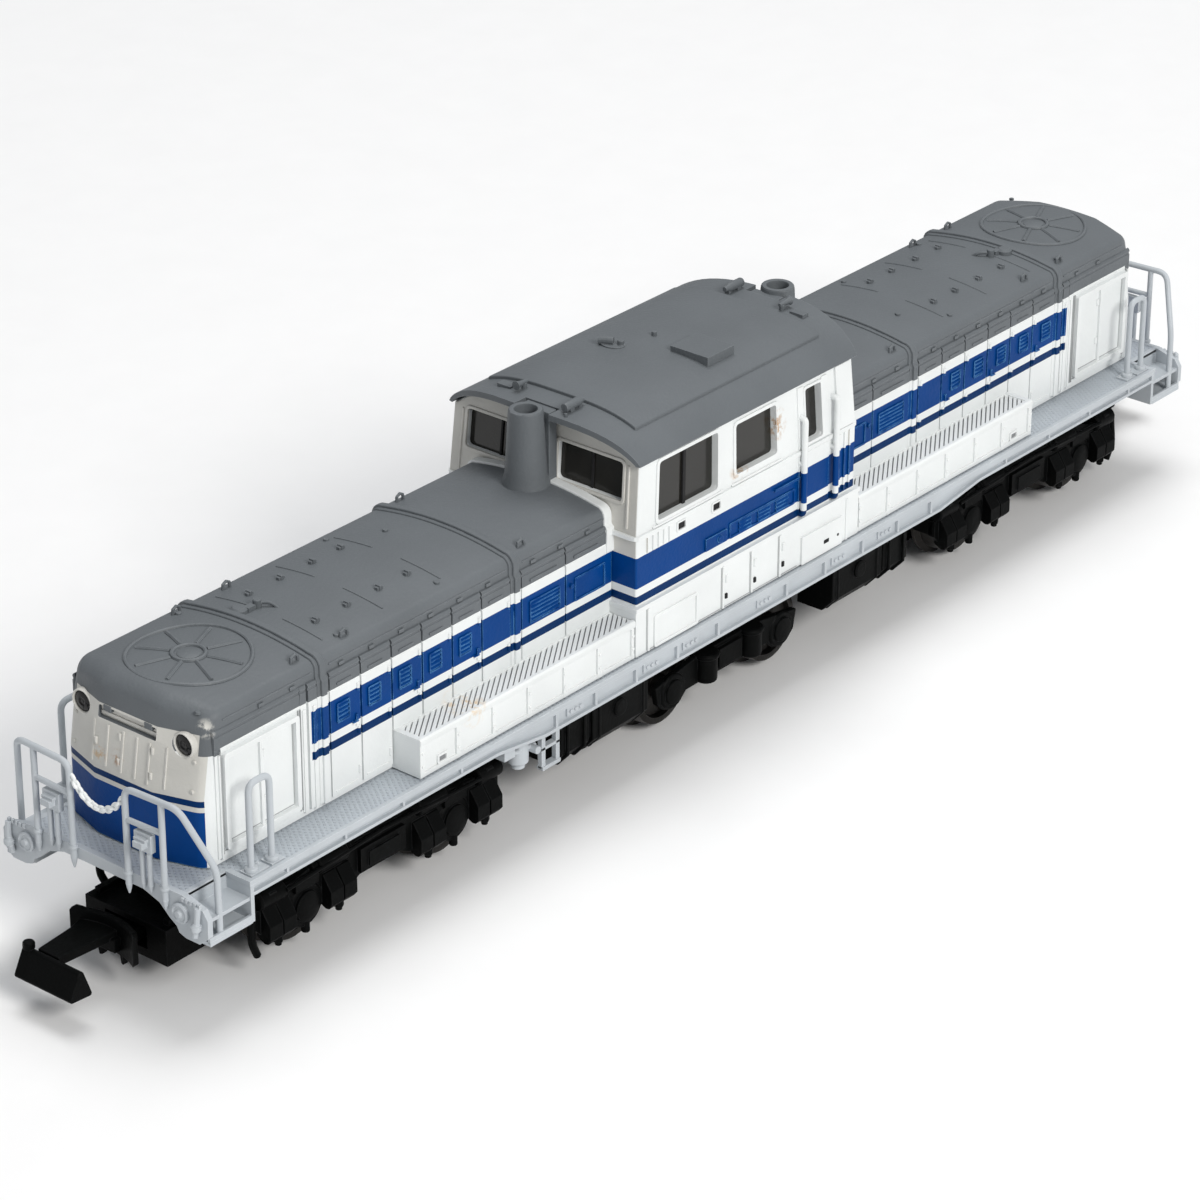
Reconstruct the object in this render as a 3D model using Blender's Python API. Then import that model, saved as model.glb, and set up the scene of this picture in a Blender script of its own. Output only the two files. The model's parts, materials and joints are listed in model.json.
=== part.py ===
"""Model diesel locomotive, centre cab, B-2-B wheels, 1:150 scale (9 mm gauge).

Axes: X along the locomotive with the front end at -X, Y across, Z up.  The origin is on the
centre line, level with the lowest points of the wheel flanges.  Dimensions below are in millimetres.
"""
import math

import bmesh
import bpy
from mathutils import Matrix, Vector

MM = 0.001
GAP = 0.06  # between pieces that rest on each other

# Track and wheels
RAIL_TOP = 0.6
TREAD_R = 2.87
AXLE_Z = RAIL_TOP + TREAD_R
FLANGE_R = AXLE_Z
BACK_Y = 3.8
WHEEL_OUT_Y = 5.95
STUB_R = 0.75
NEEDLE_Y = 6.75
POWER_BASE = 14.66
CENTRE_BASE = 12.66
BOGIE_X = 37.5

# Gears: module, teeth and the height of the worm wheel
MODULE = 0.3
WORM_TEETH = 20
IDLER_TEETH = 14
AXLE_TEETH = 12
TOOTH_RISE = 0.8 * MODULE
TOOTH_DROP = 1.15 * MODULE
WORM_R = 1.7
WORM_WHEEL_Z = 8.0
WORM_WHEEL_R = MODULE * WORM_TEETH / 2 + TOOTH_RISE
WORM_BITE = 0.14  # how far the thread reaches between the worm wheel's teeth
GEAR_HALF = 0.85
SHAFT_Z = WORM_WHEEL_Z + WORM_WHEEL_R + WORM_R - WORM_BITE
SHAFT_R = 0.6

# Running board
DECK_TOP = 9.4
DECK_T = 0.55
DECK_Y = 9.3
DECK_X = 52.1
PLATFORM_X = 56.0
PLATFORM_Y = 7.1
SILL_T = 0.6
SILL_END_Z = 8.25
SILL_MID_Z = 7.6
SILL_MID_X = 23.0
SILL_END_X = 28.0
OPENING_X = 50.6
OPENING_Y = 5.45
STEP_Z = 6.3
RAIL_R = 0.36
RAIL_X = 56.15
RAIL_Z = 15.6
RAIL_IN_Y = 2.2
CHAIN_R = 0.22
CHAIN_LOW_Z = 13.2
CHAIN_SAG = 1.6

# Body shell
WALL = 0.8
HOOD_Y = 6.39
HOOD_EDGE_Z = 19.4
HOOD_CROWN_Z = 20.85
NOSE_X = 53.85
NOSE_CORNER_X = 52.7
NOSE_FLAT_Y = 2.6
NOSE_BREAK_Z = 14.4
BODY_Z = DECK_TOP + GAP
BOX_X = 35.3
BOX_Y = 8.85
BOX_Z = 12.4
CAB_X = 12.6
CAB_Y = 8.8
CAB_TOP_X = 12.1
CAB_TOP_Y = 8.5
CAB_BREAK_Z = 18.6
EAVE_Z = 23.85
EAVE_Y = 8.7
EAVE_X = 12.35
ROOF_CROWN_Z = 26.2
ROOF_BOW = 1.3
ROOF_T = 0.7
ROOF_LIP = 0.4
RIBS_X = (22.8, 41.9)
LAMP_Y = 4.6
LAMP_Z = 17.9
LAMP_R = 0.8
STACK_X = 14.2
STACK_TOP_Z = 26.45

# Chassis
BLOCK_Y = 5.3
BLOCK_X = 50.0
BLOCK_TOP = 17.5
BLOCK_LOW = 7.6
SPLIT = 0.1
SCREW_X = 24.0
SCREW_Z = 15.6
MOTOR_R = 4.2
MOTOR_HALF = 6.6
FLYWHEEL_R = 3.6
FLYWHEEL_X = (9.6, 15.1)

# Underframe tanks
TANK_X = (10.8, 20.2)
TANK_Y = 8.0
TANK_Z = (3.3, 7.35)

# Bogies
SIDE_Y = (6.35, 7.05)
BLOCK_FACE_Y = 7.8
POCKET = (-16.8, -11.5)
POCKET_Y = 3.7
POCKET_Z = (1.9, 4.6)
COUPLER_PIVOT = -13.6
COUPLER_Z = (2.75, 3.75)
COUPLER_TIP = -24.4

COLOURS = {
    "white_plastic": ((0.82, 0.83, 0.83), 0.38, 0.0),
    "grey_paint": ((0.155, 0.175, 0.19), 0.5, 0.0),
    "frame_grey_plastic": ((0.55, 0.59, 0.63), 0.42, 0.0),
    "black_plastic": ((0.016, 0.017, 0.019), 0.45, 0.0),
    "clear_plastic": ((0.6, 0.63, 0.65), 0.08, 0.0),
    "wheel_metal": ((0.32, 0.3, 0.27), 0.35, 1.0),
    "steel": ((0.55, 0.55, 0.56), 0.3, 1.0),
    "diecast_metal": ((0.28, 0.28, 0.29), 0.5, 1.0),
    "motor_steel": ((0.5, 0.5, 0.51), 0.32, 1.0),
    "magnet": ((0.06, 0.06, 0.065), 0.55, 0.0),
    "copper": ((0.72, 0.35, 0.17), 0.3, 1.0),
    "brass": ((0.72, 0.52, 0.2), 0.3, 1.0),
    "gear_plastic": ((0.72, 0.71, 0.66), 0.45, 0.0),
    "circuit_board": ((0.03, 0.16, 0.07), 0.45, 0.0),
}


# ---------------------------------------------------------------- building blocks

def clear_scene():
    for obj in list(bpy.data.objects):
        bpy.data.objects.remove(obj, do_unlink=True)


def material(name):
    found = bpy.data.materials.get(name)
    if found:
        return found
    colour, roughness, metallic = COLOURS[name]
    made = bpy.data.materials.new(name)
    made.use_nodes = True
    shader = made.node_tree.nodes["Principled BSDF"]
    shader.inputs["Base Color"].default_value = (*colour, 1.0)
    shader.inputs["Roughness"].default_value = roughness
    shader.inputs["Metallic"].default_value = metallic
    made.diffuse_color = (*colour, 1.0)
    return made


def from_bmesh(bm, name="piece"):
    bmesh.ops.recalc_face_normals(bm, faces=bm.faces)
    mesh = bpy.data.meshes.new(name)
    bm.to_mesh(mesh)
    bm.free()
    obj = bpy.data.objects.new(name, mesh)
    bpy.context.scene.collection.objects.link(obj)
    return obj


AXIS_ORDER = {"X": (1, 2, 0), "Y": (0, 2, 1), "Z": (0, 1, 2)}


def placed(axis, a, b, along):
    """A point from two outline coordinates and one along the extrusion axis."""
    point = [0.0, 0.0, 0.0]
    for index, value in zip(AXIS_ORDER[axis], (a, b, along)):
        point[index] = value * MM
    return point


def prism(axis, outline, low, high):
    """The outline (two coordinates across the axis, in mm) extruded from low to high."""
    bm = bmesh.new()
    base = [bm.verts.new(placed(axis, a, b, low)) for a, b in outline]
    face = bm.faces.new(base)
    made = bmesh.ops.extrude_face_region(bm, geom=[face])
    moved = [item for item in made["geom"] if isinstance(item, bmesh.types.BMVert)]
    bmesh.ops.translate(bm, verts=moved, vec=placed(axis, 0, 0, high - low))
    return from_bmesh(bm)


def box(low, high):
    (x0, y0, z0), (x1, y1, z1) = low, high
    return prism("Z", [(x0, y0), (x1, y0), (x1, y1), (x0, y1)], z0, z1)


def lathe(axis, profile, sides, centre=(0, 0), start=0.0):
    """A profile of (along, radius) points in mm turned about an axis; its ends are closed on the axis."""
    bm = bmesh.new()
    rings = []
    for along, radius in profile:
        ring = []
        for step in range(sides):
            angle = start + math.tau * step / sides
            a = centre[0] + radius * math.cos(angle)
            b = centre[1] + radius * math.sin(angle)
            ring.append(bm.verts.new(placed(axis, a, b, along)))
        rings.append(ring)
    for first, second in zip(rings, rings[1:]):
        for step in range(sides):
            after = (step + 1) % sides
            bm.faces.new((first[step], first[after], second[after], second[step]))
    bm.faces.new(rings[0])
    bm.faces.new(rings[-1])
    return from_bmesh(bm)


def rod(axis, radius, low, high, centre=(0, 0), sides=12):
    return lathe(axis, [(low, radius), (high, radius)], sides, centre)


def bar(points, radius, sides=6):
    """A round bar along a bent line of points in mm, with mitred corners."""
    bm = bmesh.new()
    line = [Vector(p) for p in points]
    rings = []
    for index, point in enumerate(line):
        before = (point - line[index - 1]).normalized() if index else None
        after = (line[index + 1] - point).normalized() if index + 1 < len(line) else None
        heading = before or after
        if before and after:
            heading = (before + after).normalized()
        run = before or after
        side = Vector((0.31, 0.87, 0.38)).cross(run)
        side.normalize()
        other = run.cross(side)
        ring = []
        for step in range(sides):
            angle = math.tau * step / sides
            spoke = side * math.cos(angle) * radius + other * math.sin(angle) * radius
            shift = -spoke.dot(heading) / run.dot(heading)
            ring.append(bm.verts.new((point + spoke + run * shift) * MM))
        rings.append(ring)
    for first, second in zip(rings, rings[1:]):
        offset = min(
            range(sides),
            key=lambda k: sum((first[i].co - second[(i + k) % sides].co).length for i in range(sides)),
        )
        for step in range(sides):
            after = (step + 1) % sides
            far = (second[(after + offset) % sides], second[(step + offset) % sides])
            bm.faces.new((first[step], first[after], *far))
    bm.faces.new(rings[0])
    bm.faces.new(rings[-1])
    return from_bmesh(bm)


def combine(target, tools, operation, crossing=False):
    """Applies a Boolean for each tool, then removes the tools; crossing: a tool crosses itself."""
    for tool in tools:
        modifier = target.modifiers.new("cut", "BOOLEAN")
        modifier.operation = operation
        modifier.solver = "EXACT"
        modifier.use_self = crossing
        modifier.object = tool
    bpy.context.view_layer.update()
    graph = bpy.context.evaluated_depsgraph_get()
    mesh = bpy.data.meshes.new_from_object(target.evaluated_get(graph))
    target.modifiers.clear()
    target.data = mesh
    for tool in tools:
        bpy.data.objects.remove(tool, do_unlink=True)
    return target


def union(target, *tools):
    """Joins the tools to the target in one Boolean, the tools gathered in one mesh beforehand."""
    if len(tools) < 2:
        return combine(target, tools, "UNION")
    bm = bmesh.new()
    for tool in tools:
        bm.from_mesh(tool.data)
        bpy.data.objects.remove(tool, do_unlink=True)
    mesh = bpy.data.meshes.new("gathered")
    bm.to_mesh(mesh)
    bm.free()
    gathered = bpy.data.objects.new("gathered", mesh)
    bpy.context.scene.collection.objects.link(gathered)
    return combine(target, [gathered], "UNION", crossing=True)


def cut(target, *tools):
    return combine(target, tools, "DIFFERENCE")


def common(target, *tools):
    return combine(target, tools, "INTERSECT")


def turned(obj, angle, axis="Z"):
    obj.data.transform(Matrix.Rotation(angle, 4, axis))
    return obj


def finish(obj, name, colour, parent=None, at=(0, 0, 0)):
    """Names a piece, gives it its material and places it under its parent."""
    obj.name = name
    obj.data.name = name
    obj.data.materials.clear()
    obj.data.materials.append(material(colour))
    obj.data.shade_smooth()
    obj.data.set_sharp_from_angle(angle=math.radians(35))
    obj.location = [value * MM for value in at]
    obj.parent = parent
    return obj


def pivot(name, at, parent=None, turn=0.0):
    """An empty on a joint's axis."""
    empty = bpy.data.objects.new(name, None)
    bpy.context.scene.collection.objects.link(empty)
    empty.empty_display_size = 0.002
    empty.location = [value * MM for value in at]
    empty.rotation_euler = (0, 0, turn)
    empty.parent = parent
    return empty


def mirrored(points):
    """The outline's points with a < 0 added, for an outline listed from the bottom up on its +a side."""
    return points + [(-a, b) for a, b in reversed(points) if abs(a) > 1e-9]


# ---------------------------------------------------------------- body shell, roof and glazing

def hood_outline(grow=0.0, floor=BODY_Z):
    side = [
        (HOOD_Y + grow, floor),
        (HOOD_Y + grow, HOOD_EDGE_Z),
        (HOOD_Y - 0.3 + grow * 0.7, HOOD_EDGE_Z + 0.55 + grow * 0.6),
        (HOOD_Y - 1.1, HOOD_EDGE_Z + 0.85 + grow),
        (3.0, HOOD_CROWN_Z - 0.25 + grow),
        (0.0, HOOD_CROWN_Z + grow),
    ]
    return mirrored(side)


def hood_solid():
    """Both hoods as one long bar, trimmed to the bowed and leaning end faces."""
    body = prism("X", hood_outline(), -NOSE_X - 1, NOSE_X + 1)
    plan = [
        (NOSE_CORNER_X, -HOOD_Y - 1),
        (NOSE_CORNER_X, -HOOD_Y),
        (NOSE_X, -NOSE_FLAT_Y),
        (NOSE_X, NOSE_FLAT_Y),
        (NOSE_CORNER_X, HOOD_Y),
        (NOSE_CORNER_X, HOOD_Y + 1),
    ]
    plan = plan + [(-x, -y) for x, y in plan]
    lean = [
        (NOSE_X + 0.5, 0.0),
        (NOSE_X + 0.5, NOSE_BREAK_Z - 0.1),
        (NOSE_X, NOSE_BREAK_Z),
        (NOSE_X - 0.75, LAMP_Z + 0.7),
        (NOSE_X - 1.1, HOOD_EDGE_Z + 0.6),
        (NOSE_X - 1.6, HOOD_CROWN_Z - 0.15),
        (NOSE_X - 2.4, HOOD_CROWN_Z + 0.4),
    ]
    lean = lean + [(-x, z) for x, z in reversed(lean)]
    return common(body, prism("Z", plan, 0, 30), prism("Y", lean, -20, 20))


def roof_arch(lift=0.0, reach=EAVE_Y):
    """The cab roof's outline across Y from the eave to the crown, on the +Y side."""
    rise = ROOF_CROWN_Z - EAVE_Z
    return [
        (reach, EAVE_Z + lift),
        (reach - 0.45, EAVE_Z + 0.29 * rise + lift),
        (reach - 1.0, EAVE_Z + 0.44 * rise + lift),
        (reach - 2.0, EAVE_Z + 0.66 * rise + lift),
        (5.0, EAVE_Z + 0.87 * rise + lift),
        (2.5, EAVE_Z + 0.98 * rise + lift),
        (0.0, ROOF_CROWN_Z + lift),
    ]


def cab_solid():
    low = [(-CAB_X, -CAB_Y), (CAB_X, -CAB_Y), (CAB_X, CAB_Y), (-CAB_X, CAB_Y)]
    top = [(x * CAB_TOP_X / CAB_X, y * CAB_TOP_Y / CAB_Y) for x, y in low]
    bm = bmesh.new()
    levels = []
    for outline, height in ((low, BODY_Z), (low, CAB_BREAK_Z), (top, EAVE_Z), (top, ROOF_CROWN_Z)):
        levels.append([bm.verts.new(placed("Z", a, b, height)) for a, b in outline])
    for first, second in zip(levels, levels[1:]):
        for step in range(4):
            after = (step + 1) % 4
            bm.faces.new((first[step], first[after], second[after], second[step]))
    bm.faces.new(levels[0])
    bm.faces.new(levels[-1])
    cab = from_bmesh(bm)
    arch = roof_arch(lift=-ROOF_T - GAP, reach=EAVE_Y - ROOF_LIP - GAP)[1:]
    ledge = EAVE_Z - GAP
    outline = [(CAB_Y + 1, 0), (CAB_Y + 1, ledge), (arch[0][0] + GAP, ledge)] + arch
    return common(cab, prism("X", mirrored(outline), -20, 20))


def cab_windows():
    """Cutters for the side and end windows; the two sides are alike turned about the centre."""
    spans = ((-10.3, -3.8), (-1.6, 3.1), (6.6, 8.5))
    cutters = []
    for side in (-1, 1):
        for low, high in spans:
            x0, x1 = sorted((-side * low, -side * high))
            y0, y1 = sorted((side * 7.0, side * 10.0))
            cutters.append(box((x0, y0, 19.45), (x1, y1, 23.3)))
    for end in (-1, 1):
        for side in (-1, 1):
            x0, x1 = sorted((end * 11.0, end * 14.0))
            y0, y1 = sorted((side * 1.5, side * 6.95))
            cutters.append(box((x0, y0, 20.5), (x1, y1, 23.5)))
    return cutters


def body_shell():
    shell = hood_solid()
    shell = union(shell, cab_solid())
    for side in (-1, 1):
        y0, y1 = sorted((side * (HOOD_Y - 0.5), side * BOX_Y))
        shell = union(shell, box((-BOX_X, y0, BODY_Z), (BOX_X, y1, BOX_Z)))
    for x in RIBS_X:
        for end in (-1, 1):
            shell = union(shell, prism("X", hood_outline(0.2, 17.7), end * x - 0.45, end * x + 0.45))
    hollow_side = [
        (HOOD_Y - WALL, 0.0),
        (HOOD_Y - WALL, HOOD_EDGE_Z - 0.4),
        (HOOD_Y - WALL - 0.9, HOOD_EDGE_Z + 0.1),
        (0.0, HOOD_CROWN_Z - WALL),
    ]
    nose_inner = NOSE_CORNER_X - WALL - 0.3
    hollow = [prism("X", mirrored(hollow_side), -nose_inner, nose_inner)]
    hollow.append(box((-CAB_X + WALL, -CAB_Y + WALL, 0), (CAB_X - WALL, CAB_Y - WALL, CAB_BREAK_Z)))
    upper = (CAB_TOP_X - WALL, CAB_TOP_Y - WALL)
    hollow.append(box((-upper[0], -upper[1], CAB_BREAK_Z - 1), (upper[0], upper[1], 30)))
    for side in (-1, 1):
        for end in (-1, 1):
            x0, x1 = sorted((end * (CAB_X + 0.6), end * (BOX_X - 0.7)))
            y0, y1 = sorted((side * 5.0, side * (BOX_Y - 0.7)))
            hollow.append(box((x0, y0, 0), (x1, y1, BOX_Z - 0.7)))
            hollow.append(rod("X", LAMP_R, *sorted((end * 50, end * 56)), centre=(side * LAMP_Y, LAMP_Z)))
    shell = cut(shell, *hollow)
    shell = cut(shell, *cab_windows())
    return finish(shell, "body_shell", "white_plastic")


def roof_plan():
    """The cab roof seen from above, with its bowed ends."""
    end = []
    for step in range(9):
        y = EAVE_Y * (1 - step / 4)
        end.append((EAVE_X + ROOF_BOW * (1 - (y / EAVE_Y) ** 2), y))
    return end + [(-x, -y) for x, y in end]


def cab_roof():
    reach = EAVE_X + ROOF_BOW + 1
    roof = prism("X", mirrored(roof_arch()), -reach, reach)
    roof = common(roof, prism("Z", roof_plan(), 0, 40))
    inside_y = EAVE_Y - ROOF_LIP
    inside = mirrored([(inside_y, 0)] + roof_arch(lift=-ROOF_T, reach=inside_y))
    notch = 1.6
    roof = cut(
        roof,
        prism("X", inside, -reach - 1, reach + 1),
        box((EAVE_X + 0.03, -notch, 0), (reach, notch, 40)),
        box((-reach, -notch, 0), (-EAVE_X - 0.03, notch, 40)),
    )
    hatch_z = ROOF_CROWN_Z - 0.6
    roof = union(roof, box((-0.2, -4.9, hatch_z), (2.8, -1.5, hatch_z + 1.25)))
    return finish(roof, "cab_roof", "grey_paint")


def cab_glazing():
    outer = (CAB_TOP_X - WALL - 0.12, CAB_TOP_Y - WALL - 0.12)
    insert = box((-outer[0], -outer[1], 18.9), (outer[0], outer[1], 23.3))
    inner = (outer[0] - 0.6, outer[1] - 0.6)
    cut(insert, box((-inner[0], -inner[1], 18), (inner[0], inner[1], 25)))
    return finish(insert, "cab_glazing", "clear_plastic")


def exhaust_stack(name, end):
    foot = HOOD_CROWN_Z + GAP
    stack = lathe(
        "Z",
        [(foot, 1.75), (foot + 0.5, 1.55), (STACK_TOP_Z - 0.2, 1.38), (STACK_TOP_Z, 1.25)],
        16,
        (STACK_X, 0),
    )
    bridge = box((EAVE_X + 0.1, -1.25, foot + 0.1), (STACK_X, 1.25, ROOF_CROWN_Z - 0.05))
    stack = union(stack, bridge)
    stack = cut(stack, rod("Z", 0.85, STACK_TOP_Z - 3, STACK_TOP_Z + 1, (STACK_X, 0), 12))
    if end < 0:
        turned(stack, math.pi)
    return finish(stack, name, "grey_paint")


# ---------------------------------------------------------------- running board with its railings

def step_outline():
    """The end beam's front plate across Y: shallow in the middle, deep at the steps."""
    side = [
        (0.0, 8.6),
        (3.4, 8.6),
        (5.6, 7.6),
        (6.7, 6.9),
        (7.1, STEP_Z),
        (DECK_Y, STEP_Z),
        (DECK_Y, DECK_TOP - 0.8),
        (PLATFORM_Y, DECK_TOP),
        (0.0, DECK_TOP),
    ]
    return mirrored(side)


def end_railing(end, side):
    """One railing of an end platform: two posts, a top rail down to the step, and a lamp bracket."""
    x = end * RAIL_X
    back = end * (RAIL_X - 1.5)
    inner = side * RAIL_IN_Y
    top = [(x, inner, 8.2), (x, inner, RAIL_Z - 0.3), (x, inner + side * 0.3, RAIL_Z)]
    down = [(x, side * 6.4, RAIL_Z + 0.3), (back, side * 8.95, 11.4), (back, side * 8.95, STEP_Z + 0.35)]
    pieces = [bar(top + down, RAIL_R)]
    pieces.append(bar([(x, side * 5.4, 8.2), (x, side * 5.4, RAIL_Z + 0.2)], RAIL_R))
    pieces.append(bar([(x, inner, 13.2), (x, side * 5.4, 13.4)], RAIL_R * 0.85))
    pieces.append(bar([(x, side * 3.8, 11.9), (x, side * 3.8, 13.2)], RAIL_R * 0.6))
    lamp = rod("X", 0.85, *sorted((x - end * 0.3, x + end * 0.75)), centre=(side * 3.8, 12.4), sides=12)
    return pieces + [lamp]


def gangway_chain(end):
    """The moulded chain that sags between an end's two railings."""
    points = []
    for step in range(9):
        share = step / 4 - 1
        points.append((end * RAIL_X, share * RAIL_IN_Y, CHAIN_LOW_Z + CHAIN_SAG * share ** 2))
    return bar(points, CHAIN_R)


def corner_step(end, side):
    """Two treads between a front plate and a rear plate, at one corner of the running board."""
    y0, y1 = sorted((side * PLATFORM_Y, side * DECK_Y))
    x0, x1 = sorted((end * (DECK_X - 0.5), end * PLATFORM_X))
    tread_low = box((x0, y0, STEP_Z), (x1, y1, STEP_Z + 0.4))
    tread_high = box((x0, y0, 7.9), (x1, y1, 8.25))
    rear_x = sorted((end * (DECK_X - 0.5), end * DECK_X))
    rear = box((rear_x[0], y0, STEP_Z + 0.1), (rear_x[1], y1, DECK_TOP - 0.1))
    y2, y3 = sorted((side * (PLATFORM_Y - 0.3), side * (PLATFORM_Y + 0.2)))
    inner = box((x0, y2, STEP_Z + 0.05), (x1, y3, DECK_TOP - 0.05))
    return [tread_low, tread_high, rear, inner]


def side_sill(side):
    outline = [
        (DECK_X - 0.05, DECK_TOP - 0.05),
        (DECK_X - 0.05, SILL_END_Z),
        (SILL_END_X, SILL_END_Z),
        (SILL_MID_X, SILL_MID_Z),
        (-SILL_MID_X, SILL_MID_Z),
        (-SILL_END_X, SILL_END_Z),
        (-DECK_X + 0.05, SILL_END_Z),
        (-DECK_X + 0.05, DECK_TOP - 0.05),
    ]
    return prism("Y", outline, *sorted((side * (DECK_Y - SILL_T), side * DECK_Y)))


def running_board():
    deck = box((-DECK_X, -DECK_Y, DECK_TOP - DECK_T), (DECK_X, DECK_Y, DECK_TOP))
    reach = PLATFORM_X - 0.1
    platform = box((-reach, -PLATFORM_Y, DECK_TOP - DECK_T), (reach, PLATFORM_Y, DECK_TOP))
    deck = union(deck, platform)
    pieces = [side_sill(side) for side in (-1, 1)]
    for end in (-1, 1):
        pieces.append(prism("X", step_outline(), *sorted((end * (PLATFORM_X - 0.5), end * PLATFORM_X))))
        pieces.append(gangway_chain(end))
        for side in (-1, 1):
            pieces += corner_step(end, side)
            pieces += end_railing(end, side)
            y = side * 8.85
            feet = [(end * 51.1, y, 9.0), (end * 51.1, y, 15.4), (end * 50.8, y, 15.75)]
            feet += [(end * 49.5, y, 15.75), (end * 49.2, y, 15.4), (end * 49.2, y, 9.0)]
            pieces.append(bar(feet, RAIL_R))
    deck = union(deck, *pieces)
    opening = box((-OPENING_X, -OPENING_Y, 0), (OPENING_X, OPENING_Y, 20))
    return finish(cut(deck, opening), "running_board", "frame_grey_plastic")


def underframe_tanks():
    """Four tank boxes on one moulding that clips below the chassis."""
    moulding = None
    bottom = BLOCK_LOW - GAP
    for end in (-1, 1):
        x0, x1 = sorted((end * TANK_X[0], end * TANK_X[1]))
        outline = mirrored([(TANK_Y - 0.9, TANK_Z[0]), (TANK_Y, TANK_Z[0] + 1.2), (TANK_Y, TANK_Z[1])])
        tank = prism("X", outline, x0, x1)
        hollow = [(4.6, 0.0), (4.6, TANK_Z[1] - 0.6)]
        tank = cut(tank, prism("X", mirrored(hollow), x0 - 1, x1 + 1))
        moulding = tank if moulding is None else union(moulding, tank)
    rails = []
    for side in (-1, 1):
        y0, y1 = sorted((side * 6.0, side * 7.2))
        rails.append(box((-TANK_X[0] - 1, y0, 7.02), (TANK_X[0] + 1, y1, TANK_Z[1] + 0.1)))
    moulding = union(moulding, *rails)
    pads = [box((end * 15.5 - 3, -3, TANK_Z[1] - 0.3), (end * 15.5 + 3, 3, bottom)) for end in (-1, 1)]
    return finish(union(moulding, *pads), "underframe_tanks", "black_plastic")


# ---------------------------------------------------------------- chassis, motor and lighting

def chassis_half(name, side):
    low_x = BOGIE_X + 6.5
    outline = [
        (BLOCK_X, BLOCK_TOP),
        (BLOCK_X, DECK_TOP),
        (low_x + 3, DECK_TOP),
        (low_x + 3, BLOCK_LOW),
    ]
    outline = outline + [(-x, z) for x, z in reversed(outline)]
    half = prism("Y", outline, *sorted((side * SPLIT, side * BLOCK_Y)))
    axis = (0, SHAFT_Z)
    cutters = [rod("X", MOTOR_R + 0.12, -MOTOR_HALF - 0.3, MOTOR_HALF + 0.3, axis, 24)]
    cutters.append(rod("X", SHAFT_R + 0.25, -47, 47, axis))
    cutters.append(box((-1.3, -3.4, 0), (1.3, 3.4, 9)))
    for end in (-1, 1):
        near, far = sorted((end * (FLYWHEEL_X[0] - 0.6), end * (FLYWHEEL_X[1] + 0.6)))
        cutters.append(rod("X", FLYWHEEL_R + 0.3, near, far, axis, 20))
        centre = end * BOGIE_X
        cutters.append(box((centre - 3.4, -2.2, 10.4), (centre + 3.4, 2.2, SHAFT_Z + 2.2)))
        cutters.append(box((centre - 5.6, -8, 0), (centre + 5.6, 8, 10.95)))
        cutters.append(rod("Y", 0.8, -9, 9, (end * SCREW_X, SCREW_Z)))
        cutters.append(rod("Y", 1.55, -9, -BLOCK_Y + 1.0, (end * SCREW_X, SCREW_Z)))
    return finish(cut(half, *cutters), name, "diecast_metal")


def chassis_screw(name, end):
    head = -BLOCK_Y + 0.95
    profile = [(head - 0.9, 1.1), (head - 0.7, 1.4), (head, 1.4), (head, 0.7)]
    profile += [(BLOCK_Y - 0.2, 0.7), (BLOCK_Y, 0.5)]
    screw = lathe("Y", profile, 14, (end * SCREW_X, SCREW_Z))
    slot = box((end * SCREW_X - 0.2, -9, SCREW_Z - 2), (end * SCREW_X + 0.2, head - 0.5, SCREW_Z + 2))
    return finish(cut(screw, slot), name, "steel")


def motor_frame():
    frame = rod("X", MOTOR_R, -MOTOR_HALF, MOTOR_HALF, (0, SHAFT_Z), 24)
    inside = rod("X", MOTOR_R - 0.6, -MOTOR_HALF + 0.7, MOTOR_HALF - 0.7, (0, SHAFT_Z), 24)
    holes = rod("X", SHAFT_R + 0.15, -MOTOR_HALF - 1, MOTOR_HALF + 1, (0, SHAFT_Z))
    vents = [box((x - 1.1, -0.9, SHAFT_Z + 2), (x + 1.1, 0.9, SHAFT_Z + 6)) for x in (-3.2, 3.2)]
    return finish(cut(frame, union(inside, holes), *vents), "motor_frame", "motor_steel")


def motor_magnet(name, side):
    """A curved magnet on one side of the motor, as an arc of 110 degrees."""
    steps = 8
    reach = math.radians(55)
    outline = []
    for radius, order in ((MOTOR_R - 0.68, 1), (MOTOR_R - 1.25, -1)):
        for step in range(steps + 1)[::order]:
            angle = -reach + 2 * reach * step / steps
            outline.append((side * radius * math.cos(angle), SHAFT_Z + radius * math.sin(angle)))
    return finish(prism("X", outline, -4.0, 4.0), name, "magnet")


def armature(parent):
    """Five wound poles, a commutator and the motor shaft in one."""
    poles = 5
    outline = []
    for pole in range(poles):
        for share, radius in ((-0.42, 2.85), (0.0, 2.9), (0.42, 2.85), (0.5, 1.6)):
            angle = math.tau * (pole + share) / poles
            outline.append((radius * math.cos(angle), radius * math.sin(angle)))
    core = prism("X", outline, -3.6, 3.6)
    commutator = rod("X", 1.25, 3.2, 5.4)
    shaft = rod("X", SHAFT_R, -12.2, 12.2, sides=10)
    return finish(union(core, commutator, shaft), "armature", "copper", parent)


def flywheel(name, end, parent):
    near, far = FLYWHEEL_X
    wheel = lathe("X", [(near, 3.3), (near + 0.3, FLYWHEEL_R), (far - 0.3, FLYWHEEL_R), (far, 3.3)], 20)
    wheel = cut(wheel, rod("X", SHAFT_R + 0.06, near - 1, far + 1, sides=10))
    if end < 0:
        turned(wheel, math.pi)
    return finish(wheel, name, "brass", parent)


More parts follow.
